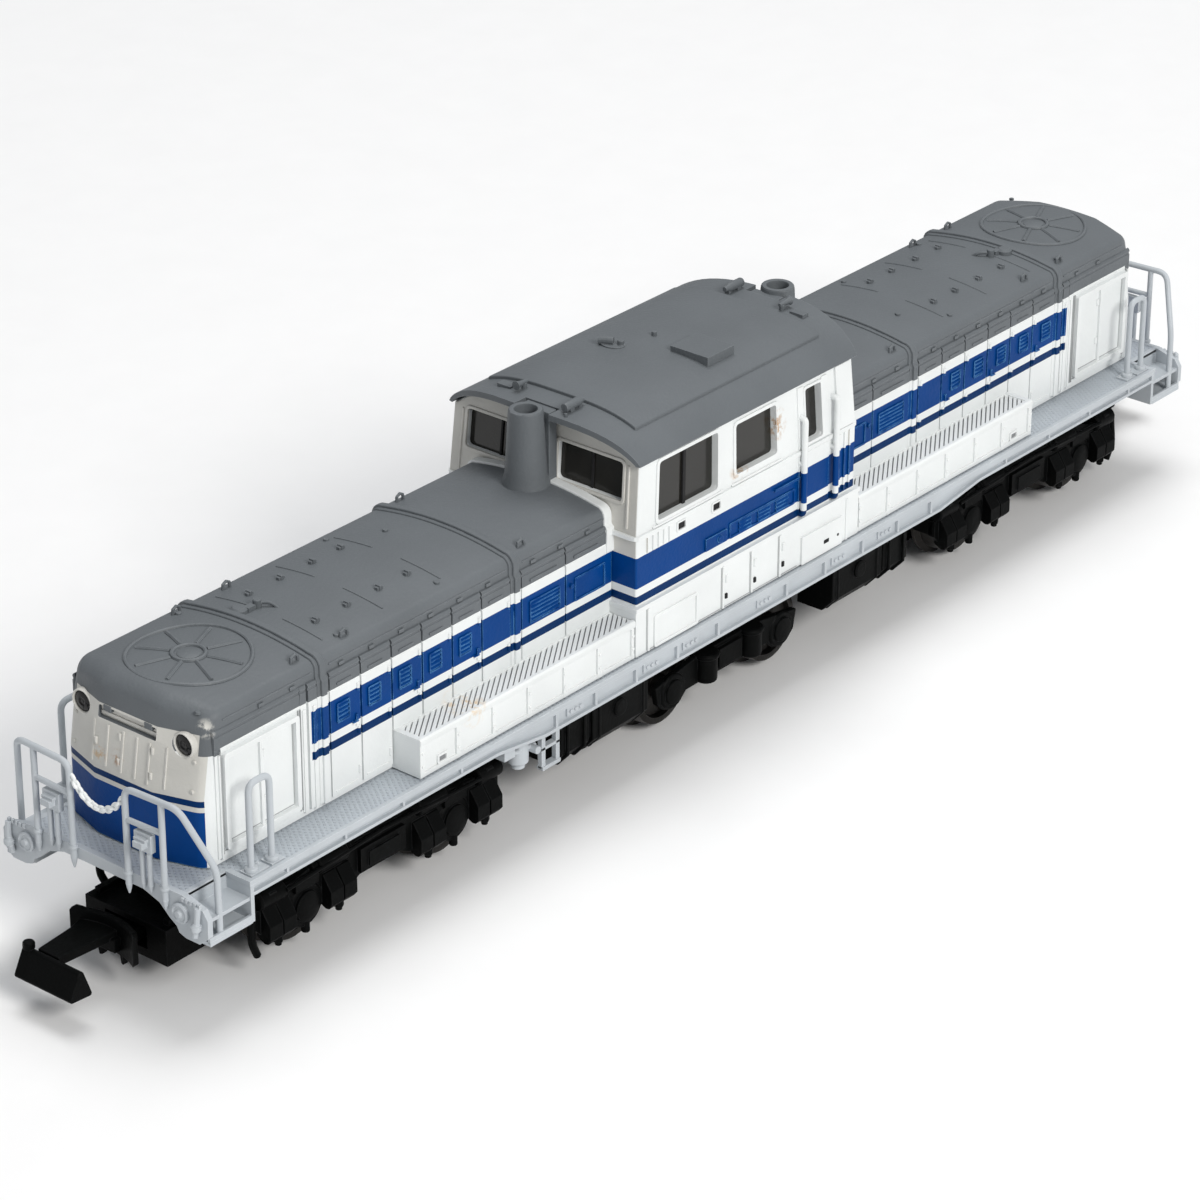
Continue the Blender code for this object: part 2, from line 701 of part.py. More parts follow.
def worm(name, end, parent):
    """A screw thread of one start on a shaft that reaches from the flywheel to the outer bearing."""
    lead = math.pi * MODULE
    turns = 4
    around = 10
    root = WORM_R - TOOTH_RISE - TOOTH_DROP
    bm = bmesh.new()
    rows = []
    low = -lead * turns / 2
    crest_below = 0.75 + 1.5 / 4 - 1
    for row in range(turns * 4 + 1):
        radius = WORM_R if row % 4 in (1, 2) else root
        along = row * lead / 4 + (0.06 * lead if row % 4 == 1 else -0.06 * lead if row % 4 == 2 else 0.0)
        ring = []
        for step in range(around):
            angle = math.tau * step / around
            shift = lead * (step / around - crest_below)
            ring.append(bm.verts.new((
                (low + along + shift) * MM,
                radius * math.cos(angle) * MM,
                radius * math.sin(angle) * MM,
            )))
        rows.append(ring)
    for row in range(len(rows) - 1):
        for step in range(around - 1):
            near, far = rows[row], rows[row + 1]
            bm.faces.new((near[step], near[step + 1], far[step + 1], far[step]))
        if row + 5 < len(rows):
            bm.faces.new((rows[row][-1], rows[row + 4][0], rows[row + 5][0], rows[row + 1][-1]))
    start_edge = [rows[0][s] for s in range(around)] + [rows[k][0] for k in (4, 3, 2, 1)]
    bm.faces.new(start_edge)
    end_edge = [rows[-1][s] for s in range(around)] + [rows[-1 - k][around - 1] for k in (1, 2, 3, 4)]
    bm.faces.new(end_edge)
    bmesh.ops.triangulate(bm, faces=[f for f in bm.faces if len(f.verts) > 4])
    thread = from_bmesh(bm)
    thread.data.transform(Matrix.Translation((BOGIE_X * MM, 0, 0)))
    shaft = rod("X", SHAFT_R, FLYWHEEL_X[0] + 2.9, 43.5, sides=10)
    thread = union(shaft, thread)
    if end < 0:
        turned(thread, math.pi)
    return finish(thread, name, "brass", parent)


def light_board(name, end):
    board = box((43.0, -4.2, 17.75), (49.6, 4.2, 18.05))
    lamp = rod("X", 0.55, 49.0, 50.1, (0, 18.2), 10)
    contacts = [box((43.4, side * 3.6 - 0.3, 17.56), (47.0, side * 3.6 + 0.3, 17.9)) for side in (-1, 1)]
    board = union(board, lamp, *contacts)
    if end < 0:
        turned(board, math.pi)
    return finish(board, name, "circuit_board")


def light_guide(name, end):
    guide = box((50.35, -5.1, 17.35), (51.3, 5.1, 18.45))
    lenses = [rod("X", LAMP_R - 0.12, 51.0, 52.65, (side * LAMP_Y, LAMP_Z), 12) for side in (-1, 1)]
    guide = union(guide, *lenses)
    if end < 0:
        turned(guide, math.pi)
    return finish(guide, name, "clear_plastic")


# ---------------------------------------------------------------- gears and wheels

def gear_outline(teeth, phase):
    """A spur gear's outline about its centre, with one tooth centred on the phase angle."""
    pitch_r = MODULE * teeth / 2
    root = pitch_r - TOOTH_DROP
    tip = pitch_r + TOOTH_RISE
    points = []
    for tooth in range(teeth):
        centre = phase + math.tau * tooth / teeth
        for share, radius in ((-0.29, root), (-0.11, tip), (0.11, tip), (0.29, root)):
            angle = centre + share * math.tau / teeth
            points.append((radius * math.cos(angle), radius * math.sin(angle)))
    return points


def idler_place(end):
    """The idler's place between worm wheel and axle gear, from the two centre distances."""
    reach_top = MODULE * (WORM_TEETH + IDLER_TEETH) / 2
    reach_axle = MODULE * (IDLER_TEETH + AXLE_TEETH) / 2
    dx = POWER_BASE / 2
    dz = AXLE_Z - WORM_WHEEL_Z
    apart = math.hypot(dx, dz)
    along = (reach_top ** 2 - reach_axle ** 2 + apart ** 2) / (2 * apart)
    off = math.sqrt(reach_top ** 2 - along ** 2)
    x = (dx * along + dz * off) / apart
    z = WORM_WHEEL_Z + (dz * along - dx * off) / apart
    return end * x, z


def mesh_phase(own, other, other_teeth, other_phase, teeth):
    """The phase that puts a gap of this gear over the other gear's tooth line."""
    line = math.atan2(own[1] - other[1], own[0] - other[0])
    tooth_offset = (line - other_phase) * other_teeth / math.tau
    return line + math.pi + (tooth_offset + 0.5) * math.tau / teeth


def gear(teeth, phase, bore=0.0, stub=0.0):
    body = prism("Y", gear_outline(teeth, phase), -GEAR_HALF, GEAR_HALF)
    if bore:
        body = union(body, rod("Y", bore + 0.4, -1.05, 1.05, sides=10))
        body = cut(body, rod("Y", bore, -3, 3, sides=12))
    if stub:
        body = union(body, rod("Y", stub, -2.3, 2.3, sides=10))
    return body


def wheel(side):
    """A wheel with its tread, flange, stub axle and needle point, outwards along +Y or -Y."""
    profile = [
        (0.15, STUB_R),
        (BACK_Y, STUB_R),
        (BACK_Y, FLANGE_R),
        (BACK_Y + 0.55, TREAD_R + 0.05),
        (WHEEL_OUT_Y, TREAD_R - 0.06),
        (WHEEL_OUT_Y, 0.5),
        (NEEDLE_Y, 0.12),
    ]
    return lathe("Y", [(side * y, r) for y, r in profile], 16, start=-math.pi / 2)


def wheelset(prefix, at, parent, muff):
    """Two wheels with stub axles in an insulating muff; the muff carries the gear on a driven axle."""
    axle = pivot(prefix + "_axle", at, parent)
    finish(muff, prefix + "_muff", "gear_plastic", axle)
    finish(wheel(-1), prefix + "_wheel_right", "wheel_metal", axle)
    finish(wheel(1), prefix + "_wheel_left", "wheel_metal", axle)


# ---------------------------------------------------------------- power bogies

def side_frame_outline():
    half = POWER_BASE / 2
    side = [
        (0.0, 3.5),
        (2.4, 3.5),
        (3.2, 2.95),
        (half - 1.6, 2.95),
        (half - 0.9, 2.25),
        (half + 0.9, 2.25),
        (half + 1.6, 2.95),
        (11.3, 2.95),
        (12.0, 3.7),
        (12.0, 5.0),
        (half + 1.5, 5.6),
        (3.4, 6.5),
        (0.0, 6.5),
    ]
    return mirrored(side)


def spring_box(x, side):
    """A spring cover on the side frame, with a roof that slopes outwards."""
    outline = [(6.8, 2.8), (BLOCK_FACE_Y, 2.8), (BLOCK_FACE_Y, 4.9), (7.3, 5.3), (6.8, 5.3)]
    return prism("X", [(side * y, z) for y, z in outline], x - 0.95, x + 0.95)


def bogie_frame(name, parent):
    frame = prism("Y", side_frame_outline(), *sorted((SIDE_Y[0], SIDE_Y[1])))
    pieces = [prism("Y", side_frame_outline(), -SIDE_Y[1], -SIDE_Y[0])]
    for end in (-1, 1):
        x0, x1 = sorted((end * 11.2, end * 12.0))
        pieces.append(box((x0, -6.8, 3.75), (x1, 6.8, 4.95)))
    for side in (-1, 1):
        for end in (-1, 1):
            axle = end * POWER_BASE / 2
            pieces += [spring_box(axle + shift, side) for shift in (-2.97, 2.97)]
            y0, y1 = sorted((side * 6.9, side * 7.5))
            pieces.append(rod("Y", 1.0, y0, y1, (axle, AXLE_Z + 0.1), 12))
        y0, y1 = sorted((side * 6.9, side * 7.35))
        pieces.append(box((-2.1, y0, 3.6), (2.1, y1, 5.6)))
    pocket = box((POCKET[0], -POCKET_Y, POCKET_Z[0]), (POCKET[1], POCKET_Y, POCKET_Z[1]))
    frame = union(frame, *pieces, pocket)
    low, high = COUPLER_Z
    cutters = [
        box((POCKET[0] + 0.8, -2.7, low - 0.2), (POCKET[1] - 0.4, 2.7, high + 0.45)),
        box((POCKET[0] - 1, -1.9, low - 0.2), (POCKET[0] + 1, 1.9, high + 0.45)),
    ]
    for side in (-1, 1):
        for end in (-1, 1):
            y0, y1 = sorted((side * 6.0, side * 6.9))
            cutters.append(rod("Y", 0.62, y0, y1, (end * POWER_BASE / 2, AXLE_Z), 12))
    return finish(cut(frame, *cutters), name, "black_plastic", parent)


def gearbox(name, parent):
    """The gear case: a long low box with a tower for the worm wheel, open above and below."""
    half = POWER_BASE / 2
    case = box((-10.7, -2.5, 1.36), (10.7, 2.5, 7.15))
    tower = box((-4.1, -2.5, 6.0), (4.1, 2.5, 10.75))
    tabs = box((-11.14, -1.5, 3.9), (11.14, 1.5, 4.8))
    case = union(case, tower, tabs)
    cutters = [box((-10.2, -1.2, 0), (10.2, 1.2, 6.7)), box((-3.6, -1.2, 5), (3.6, 1.2, 12))]
    for end in (-1, 1):
        x0, x1 = end * half - 0.85, end * half + 0.85
        round_end = rod("Y", 0.85, -4, 4, (end * half, AXLE_Z), 14)
        cutters.append(union(box((x0, -4, 0), (x1, 4, AXLE_Z)), round_end))
        cutters.append(rod("Y", 0.58, -4, 4, idler_place(end), 10))
    cutters.append(rod("Y", 0.58, -4, 4, (0, WORM_WHEEL_Z), 10))
    return finish(cut(case, *cutters), name, "black_plastic", parent)


def gearbox_cover(name, parent):
    plate = box((-10.7, -2.5, 0.95), (10.7, 2.5, 1.3))
    hooks = [box((end * 10.95 - 0.15, -1.2, 1.0), (end * 10.95 + 0.15, 1.2, 3.0)) for end in (-1, 1)]
    ties = [box((end * 10.8 - 0.3, -1.2, 0.97), (end * 10.8 + 0.3, 1.2, 1.25)) for end in (-1, 1)]
    return finish(union(plate, *ties, *hooks), name, "black_plastic", parent)


def coupler(name, parent):
    """A hook coupler: a flat shank in the pocket, a guard plate and a wedge-shaped hook bar."""
    low, high = COUPLER_Z
    pin = COUPLER_PIVOT
    shank = [
        (0.5, -0.8), (0.5, 0.8), (-0.4, 2.2), (-1.0, 2.2), (-1.2, 1.0),
        (-5.2, 0.9), (-5.2, -0.9), (-1.2, -1.0), (-1.0, -2.2), (-0.4, -2.2),
    ]
    body = prism("Z", shank, low, high)
    guard = [(-4.6, -2.9), (-4.1, -1.5), (-3.9, 0.0), (-4.1, 1.5), (-4.6, 2.9)]
    guard = guard + [(x - 0.7, y) for x, y in reversed(guard)]
    web = [(-4.4, -1.1), (-4.4, 1.1), (-9.9, 0.8), (-9.9, -0.8)]
    tip = COUPLER_TIP - pin
    nose = [(tip + 1.9, 2.0), (tip + 0.3, 2.0), (tip, 2.6), (tip + 0.4, 5.2), (tip + 1.4, 5.2)]
    pieces = [
        prism("Z", guard, 2.1, 5.1),
        prism("Z", web, 3.0, 4.2),
        prism("Y", nose, -2.8, 2.8),
    ]
    return finish(union(body, *pieces), name, "black_plastic", parent)


def coupler_spring(name, parent):
    """A small coil spring behind the shank, of round wire."""
    turns = 3
    steps = 7
    points = []
    for step in range(turns * steps + 1):
        angle = math.tau * step / steps
        x = 0.7 + 0.8 * step / (turns * steps)
        points.append((x, 0.42 * math.cos(angle), 3.25 + 0.42 * math.sin(angle)))
    return finish(bar(points, 0.1, sides=4), name, "steel", parent)


def power_bogie(prefix, end):
    """One driven bogie on its pivot; the rear one is the front one turned half round."""
    turn = 0.0 if end < 0 else math.pi
    bogie = pivot(prefix + "_bogie", (end * BOGIE_X, 0, 0), None, turn)
    bogie_frame(prefix + "_bogie_frame", bogie)
    gearbox(prefix + "_gearbox", bogie)
    gearbox_cover(prefix + "_gearbox_cover", bogie)
    wheel_at = (0.0, WORM_WHEEL_Z)
    crest = math.pi / 2 + math.pi / WORM_TEETH
    top = pivot(prefix + "_worm_wheel_axis", (0, 0, WORM_WHEEL_Z), bogie)
    finish(gear(WORM_TEETH, crest, stub=0.5), prefix + "_worm_wheel", "gear_plastic", top)
    for side, word in ((-1, "outer"), (1, "inner")):
        idler_at = idler_place(side)
        idler_phase = mesh_phase(idler_at, wheel_at, WORM_TEETH, crest, IDLER_TEETH)
        name = f"{prefix}_{word}_idler"
        axis = pivot(name + "_axis", (idler_at[0], 0, idler_at[1]), bogie)
        finish(gear(IDLER_TEETH, idler_phase, stub=0.5), name, "gear_plastic", axis)
        axle_at = (side * POWER_BASE / 2, AXLE_Z)
        axle_phase = mesh_phase(axle_at, idler_at, IDLER_TEETH, idler_phase, AXLE_TEETH)
        muff = gear(AXLE_TEETH, axle_phase, bore=STUB_R + 0.05)
        wheelset(f"{prefix}_{word}", (axle_at[0], 0, AXLE_Z), bogie, muff)
    swing = pivot(prefix + "_coupler_swing", (COUPLER_PIVOT, 0, 0), bogie)
    coupler_spring(prefix + "_coupler_spring", swing)
    coupler(prefix + "_coupler", swing)


# ---------------------------------------------------------------- centre bogie

def centre_bogie():
    """The carrying bogie: a slide block in the chassis slot, a frame turning on it, two wheelsets."""
    slide = union(
        box((-1.0, -1.2, 7.2), (1.0, 1.2, 8.1)),
        box((-2.6, -2.0, 6.75), (2.6, 2.0, 7.45)),
        rod("Z", 0.9, 5.6, 7.0, sides=14),
    )
    slide_pivot = pivot("centre_slide_pivot", (0, 0, 0))
    finish(slide, "centre_slide", "black_plastic", slide_pivot)
    bogie = pivot("centre_bogie", (0, 0, 0), slide_pivot)
    half = CENTRE_BASE / 2
    side = [
        (0.0, 2.9),
        (half - 1.5, 2.9),
        (half - 0.8, 2.3),
        (half + 0.8, 2.3),
        (half + 1.5, 2.9),
        (half + 1.9, 4.4),
        (3.0, 5.2),
        (0.0, 5.2),
    ]
    outline = mirrored(side)
    frame = prism("Y", outline, SIDE_Y[0], SIDE_Y[1] - 0.1)
    pieces = [prism("Y", outline, -SIDE_Y[1] + 0.1, -SIDE_Y[0])]
    pieces.append(box((-2.2, -6.7, 4.0), (2.2, 6.7, 5.1)))
    pieces.append(rod("Z", 1.9, 4.6, 6.6, sides=16))
    for s in (-1, 1):
        for end in (-1, 1):
            pieces.append(rod("Y", 1.1, *sorted((s * 6.8, s * 7.25)), (end * half, AXLE_Z), 12))
    frame = union(frame, *pieces)
    cutters = [rod("Z", 1.0, 5.4, 8, sides=14)]
    for s in (-1, 1):
        for end in (-1, 1):
            cutters.append(rod("Y", 0.62, *sorted((s * 6.0, s * 6.85)), (end * half, AXLE_Z), 12))
    finish(cut(frame, *cutters), "centre_bogie_frame", "black_plastic", bogie)
    for end, word in ((-1, "front"), (1, "rear")):
        muff = cut(rod("Y", 1.3, -3.4, 3.4, sides=14), rod("Y", STUB_R + 0.05, -5, 5, sides=14))
        wheelset(f"centre_{word}", (end * half, 0, AXLE_Z), bogie, muff)


# ---------------------------------------------------------------- assembly

def main():
    clear_scene()
    body_shell()
    cab_roof()
    cab_glazing()
    running_board()
    underframe_tanks()
    chassis_half("chassis_right", -1)
    chassis_half("chassis_left", 1)
    motor_frame()
    motor_magnet("magnet_right", -1)
    motor_magnet("magnet_left", 1)
    driveline = pivot("driveline", (0, 0, SHAFT_Z))
    armature(driveline)
    for end, prefix in ((-1, "front"), (1, "rear")):
        exhaust_stack(prefix + "_exhaust_stack", end)
        chassis_screw(prefix + "_chassis_screw", end)
        light_board(prefix + "_light_board", end)
        light_guide(prefix + "_light_guide", end)
        flywheel(prefix + "_flywheel", end, driveline)
        worm(prefix + "_worm", end, driveline)
        power_bogie(prefix, end)
    centre_bogie()


main()
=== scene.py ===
"""Looks of the model diesel locomotive: livery, panels, railings, running gear, camera and lights.

Lengths are in millimetres in the part's frame: X along it with the front end at -X, Z up from the flanges.
"""
import json
import math

import bmesh
import bpy
from mathutils import Matrix, Vector


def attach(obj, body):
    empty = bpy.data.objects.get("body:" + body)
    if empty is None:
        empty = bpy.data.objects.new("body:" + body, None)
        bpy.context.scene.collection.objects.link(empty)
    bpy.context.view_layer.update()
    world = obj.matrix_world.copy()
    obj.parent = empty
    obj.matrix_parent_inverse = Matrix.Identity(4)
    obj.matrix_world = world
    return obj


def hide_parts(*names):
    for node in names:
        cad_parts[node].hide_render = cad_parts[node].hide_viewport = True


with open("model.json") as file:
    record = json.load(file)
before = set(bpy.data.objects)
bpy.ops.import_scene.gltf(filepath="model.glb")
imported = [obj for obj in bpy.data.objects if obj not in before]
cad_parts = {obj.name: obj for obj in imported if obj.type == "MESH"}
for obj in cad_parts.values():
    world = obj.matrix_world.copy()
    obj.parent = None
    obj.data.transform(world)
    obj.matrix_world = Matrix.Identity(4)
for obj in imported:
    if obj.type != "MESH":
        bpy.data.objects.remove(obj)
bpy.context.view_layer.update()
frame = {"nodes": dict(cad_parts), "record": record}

MM = 0.001

# Running board, hoods, cab and running gear
DECK_TOP = 9.4
DECK_X = 52.1
DECK_Y = 9.3
PLATFORM_X = 56.0
PLATFORM_Y = 7.1
STEP_Z = 6.3
SILL_END_Z = 8.25
SILL_MID_Z = 7.6
SILL_MID_X = 23.0
SILL_END_X = 28.0
BODY_Z = 9.46
HOOD_Y = 6.39
HOOD_WALL_Y = 6.24
ROOF_WALL_Y = 6.2
LEDGE_Z = 18.85
SHOULDER_Y = 5.55
SHOULDER_Z = 20.3
SHOULDER_R = 0.65
HOOD_CROWN_Z = 20.85
NOSE_X = 53.85
NOSE_CORNER_X = 52.7
NOSE_FLAT_Y = 2.6
NOSE_BREAK_Z = 14.4
NOSE_LEAN = 0.17
RIBS_X = (22.8, 41.9)
DOORS = 6
DOOR_START = RIBS_X[0] + 0.55
DOOR_PITCH = (RIBS_X[1] - RIBS_X[0] - 1.1) / DOORS
DOOR_PROUD = 0.07
END_PANEL_INSET = 0.04
FAN_X = 47.5
BOX_X = 35.3
BOX_Y = 8.85
BOX_Z = 12.4
SLAT_PITCH = 0.6
SLAT_T = 0.43
SLAT_SHIFT = 3.7
CAB_X = 12.6
CAB_Y = 8.6
CAB_BREAK_Z = 18.6
EAVE_Z = 23.85
EAVE_Y = 8.7
EAVE_X = 12.35
ROOF_CROWN_Z = 26.2
ROOF_BOW = 1.3
PANEL_X = 10.45
PANEL_Y = 6.7
PANEL_RISE = 0.24
CAB_TOP_SHARE_X = 12.1 / 12.6
CAB_TOP_SHARE_Y = 8.42 / 8.6
LAMP_Y = 4.55
LAMP_Z = 17.95
LAMP_R = 0.76
STACK_X = 14.2
STACK_TOP_Z = 26.45
RAIL_X = 56.15
RAIL_Z = 15.6
POSTS_Y = (2.5, 5.75)
CHAIN_Y = 2.4
CHAIN_Z = 14.8
CHAIN_SAG = 1.6
CHAIN_LINKS = 15
BOGIE_X = 37.5
AXLE_Z = 3.47
POWER_BASE = 14.66
CENTRE_BASE = 12.66
TANK_X = (10.8, 20.2)

# Livery: heights of the bands
GREY_SIDE_Z = 17.75
GREY_TAB_Z = 17.35
GREY_FACE_Z = 18.75
BLUE_TOP_Z = 16.95
BLUE_LOW_Z = 14.58
NAVY_TOP_Z = 13.98
NAVY_LOW_Z = 13.38
FACE_NAVY_TOP_Z = 14.31
FACE_NAVY_LOW_Z = 13.86
FACE_BLUE_TOP_Z = 13.5
BAND_END_X = 43.1
TAB_X = 51.3
CORNER_Y = 5.5

# Camera: where it stands, its azimuth, elevation and roll in degrees, and its lens
CAMERA_PLACE = (-221.5, -178.42, 151.49)
CAMERA_TURN = (-50.36, 27.088, 0.12)
CAMERA_LENS = 130.94


# ---------------------------------------------------------------- materials

def node(tree, kind, inputs, **fields):
    """A new node with its fields set, and each input given a value or linked to another node's output."""
    made = tree.nodes.new(kind)
    for field, value in fields.items():
        setattr(made, field, value)
    for socket, value in inputs.items():
        if isinstance(value, bpy.types.NodeSocket):
            tree.links.new(value, made.inputs[socket])
        else:
            made.inputs[socket].default_value = value
    return made


def mixed(tree, mask, below, above):
    """A colour laid over another, or over a node's output, where the mask is 1."""
    if not isinstance(below, bpy.types.NodeSocket):
        below = (*below, 1.0)
    inputs = {0: mask, 6: below, 7: (*above, 1.0)}
    return node(tree, "ShaderNodeMix", inputs, data_type="RGBA").outputs[2]


def noise(tree, coords, scale, detail=3.0, rough=0.55):
    inputs = {"Vector": coords, "Scale": scale, "Detail": detail, "Roughness": rough}
    return node(tree, "ShaderNodeTexNoise", inputs).outputs["Fac"]


def ranged(tree, value, low, high, to_low=0.0, to_high=1.0):
    inputs = {"Value": value, "From Min": low, "From Max": high, "To Min": to_low, "To Max": to_high}
    return node(tree, "ShaderNodeMapRange", inputs).outputs["Result"]


def times(tree, a, b):
    return node(tree, "ShaderNodeMath", {0: a, 1: b}, operation="MULTIPLY").outputs[0]


def bumped(tree, height, strength, distance):
    inputs = {"Height": height, "Strength": strength, "Distance": distance * MM}
    return node(tree, "ShaderNodeBump", inputs).outputs["Normal"]


def object_coords(tree):
    return tree.nodes.new("ShaderNodeTexCoord").outputs["Object"]


def spot_mask(tree, coords, place, radius):
    """1 near a place on the model, fading to 0 at the radius, with a ragged edge."""
    inputs = {0: coords, 1: [v * MM for v in place]}
    away = node(tree, "ShaderNodeVectorMath", inputs, operation="DISTANCE").outputs["Value"]
    near = ranged(tree, away, radius * MM, radius * MM * 0.3)
    return times(tree, near, ranged(tree, noise(tree, coords, 1400.0, 4.0, 0.7), 0.48, 0.6))


def edge_wear_and_highlight(tree, coords, width):
    """1 along the model's edges, broken up by noise, and 0 on its faces; there the paint is lightened,
    partly as wear and partly as a painted highlight.
    """
    soft = node(tree, "ShaderNodeBevel", {"Radius": width * MM}, samples=4)
    flat = tree.nodes.new("ShaderNodeNewGeometry")
    inputs = {0: soft.outputs["Normal"], 1: flat.outputs["Normal"]}
    alike = node(tree, "ShaderNodeVectorMath", inputs, operation="DOT_PRODUCT").outputs["Value"]
    broken = ranged(tree, noise(tree, coords, 900.0, 3.0, 0.6), 0.36, 0.56)
    return times(tree, ranged(tree, alike, 0.985, 0.86), broken)


def finish_material(name, base, rough, vary=0.08, metallic=0.0, bump=0.04, gloss=0.3, edge=None, spots=()):
    """A moulded or painted finish: blotches, stains, edges lightened partly as wear and partly as painted
    highlight, fine grain in the bump and uneven gloss.
    """
    made = bpy.data.materials.new(name)
    made.use_nodes = True
    tree = made.node_tree
    shader = tree.nodes["Principled BSDF"]
    coords = object_coords(tree)
    low = [c * (1 - vary) for c in base]
    high = [min(c * (1 + vary * 0.6), 1.0) for c in base]
    colour = mixed(tree, ranged(tree, noise(tree, coords, 160.0), 0.3, 0.7), low, high)
    for place, radius, stain in spots:
        colour = mixed(tree, spot_mask(tree, coords, place, radius), colour, stain)
    # The edge colour lightens the edges: partly wear, partly a painted highlight.
    if edge:
        colour = mixed(tree, edge_wear_and_highlight(tree, coords, 0.09), colour, edge)
    tree.links.new(colour, shader.inputs["Base Color"])
    worn = noise(tree, coords, 420.0, 4.0, 0.65)
    tree.links.new(ranged(tree, worn, 0.3, 0.7, rough - 0.07, rough + 0.09), shader.inputs["Roughness"])
    shader.inputs["Metallic"].default_value = metallic
    shader.inputs["Specular IOR Level"].default_value = gloss
    tree.links.new(bumped(tree, noise(tree, coords, 3500.0, 2.0), 0.5, bump), shader.inputs["Normal"])
    return made


def tread_material(name, base):
    """Light grey plastic with the small raised lozenges of tread plate."""
    made = finish_material(name, base, 0.45, 0.1)
    tree = made.node_tree
    coords = object_coords(tree)
    heights = []
    for angle in (math.radians(35), math.radians(-35)):
        inputs = {"Vector": coords, "Rotation": (0, 0, angle)}
        turned = node(tree, "ShaderNodeMapping", inputs).outputs["Vector"]
        wave = node(tree, "ShaderNodeTexWave", {"Vector": turned, "Scale": 900.0})
        heights.append(ranged(tree, wave.outputs["Fac"], 0.55, 0.8))
    shader = tree.nodes["Principled BSDF"]
    tree.links.new(bumped(tree, times(tree, *heights), 0.8, 0.12), shader.inputs["Normal"])
    return made


RUST = (0.42, 0.2, 0.07)
WHITE_SPOTS = (
    ((-53.6, 0.6, 15.6), 0.7, RUST), ((-53.7, 2.2, 15.4), 0.8, (0.6, 0.42, 0.24)),
    ((-29.6, -7.8, 12.3), 1.7, (0.72, 0.5, 0.26)), ((2.9, -8.6, 21.5), 1.6, (0.5, 0.33, 0.2)),
    ((-1.0, -8.6, 19.6), 1.3, (0.55, 0.38, 0.24)),
)
# Each edge colour is lighter than its finish: wear and painted highlight along the edges.
WHITE = finish_material(
    "white_paint", (0.775, 0.8, 0.8), 0.38, 0.05, edge=(0.9, 0.91, 0.9), spots=WHITE_SPOTS,
)
# A darker, warmer copy of the white paint for the end faces: painted shade.
END_WHITE_SHADE = finish_material(
    "end_white_painted_shade", (0.62, 0.61, 0.57), 0.42, 0.1, edge=(0.82, 0.81, 0.77), spots=WHITE_SPOTS,
)
BLUE = finish_material("blue_paint", (0.0, 0.046, 0.215), 0.42, 0.14, gloss=0.1, edge=(0.12, 0.34, 0.62))
NAVY = finish_material("navy_paint", (0.0, 0.027, 0.115), 0.42, 0.14, gloss=0.1, edge=(0.03, 0.11, 0.3))
GREY = finish_material(
    "roof_grey_paint", (0.127, 0.14, 0.151), 0.5, 0.07, bump=0.06, edge=(0.21, 0.225, 0.24),
    spots=(((-52.3, -6.0, 19.3), 0.9, (0.8, 0.78, 0.72)),),
)
FRAME_GREY = finish_material("frame_grey_plastic", (0.48, 0.515, 0.545), 0.42, 0.08, edge=(0.62, 0.65, 0.68))
TREAD = tread_material("tread_plate", (0.45, 0.49, 0.53))
BLACK = finish_material(
    "black_plastic", (0.0025, 0.0028, 0.0028), 0.46, 0.3, gloss=0.05, edge=(0.02, 0.021, 0.022),
)
# Opaque near-black panes in place of the clear glazing: painted shade of the cab's inside, with the glass's
# own gloss.
GLASS_SHADE = finish_material("window_painted_shade", (0.018, 0.017, 0.0145), 0.16, 0.25, bump=0.0, gloss=0.4)
LENS = finish_material("headlight_lens", (0.003, 0.003, 0.003), 0.1, 0.2, bump=0.0, gloss=0.3)
# Near-black for window bars and latches; in the cab's wall pockets it is painted shade.
INNER_DARK = finish_material("dark_interior", (0.02, 0.02, 0.021), 0.7, 0.2, gloss=0.2)
TYRE = finish_material(
    "wheel_metal", (0.035, 0.033, 0.031), 0.4, 0.2, metallic=1.0, edge=(0.12, 0.115, 0.11),
)
# Mid-grey for the strips that paint the shadow lines beside raised frames and along panel joints.
SEAM_SHADE = finish_material("seam_painted_shade", (0.42, 0.435, 0.44), 0.7, 0.2, gloss=0.1)
# Grey for slabs that paint the shade inside the side boxes, under their slats.
WELL_SHADE = finish_material("well_painted_shade", (0.27, 0.28, 0.29), 0.7, 0.2, gloss=0.1)

LIVERY = [WHITE, BLUE, NAVY, GREY, END_WHITE_SHADE]
IS_WHITE, IS_BLUE, IS_NAVY, IS_GREY, IS_END_WHITE_SHADE = range(len(LIVERY))


# ---------------------------------------------------------------- shapes

AXIS_ORDER = {"X": (1, 2, 0), "Y": (0, 2, 1), "Z": (0, 1, 2)}


def placed(axis, a, b, along):
    point = [0.0, 0.0, 0.0]
    for index, value in zip(AXIS_ORDER[axis], (a, b, along)):
        point[index] = value * MM
    return point


def mirrored(points):
    """An outline given on its +a side, with the other side added."""
    return points + [(-a, b) for a, b in reversed(points) if abs(a) > 1e-9]


def rounded(low, high, radius, steps=3):
    """A rectangle with rounded corners, as an outline."""
    points = []
    corners = (
        (high[0] - radius, high[1] - radius, 0), (low[0] + radius, high[1] - radius, 90),
        (low[0] + radius, low[1] + radius, 180), (high[0] - radius, low[1] + radius, 270),
    )
    for a, b, start in corners:
        for step in range(steps + 1):
            angle = math.radians(start + 90 * step / steps)
            points.append((a + radius * math.cos(angle), b + radius * math.sin(angle)))
    return points


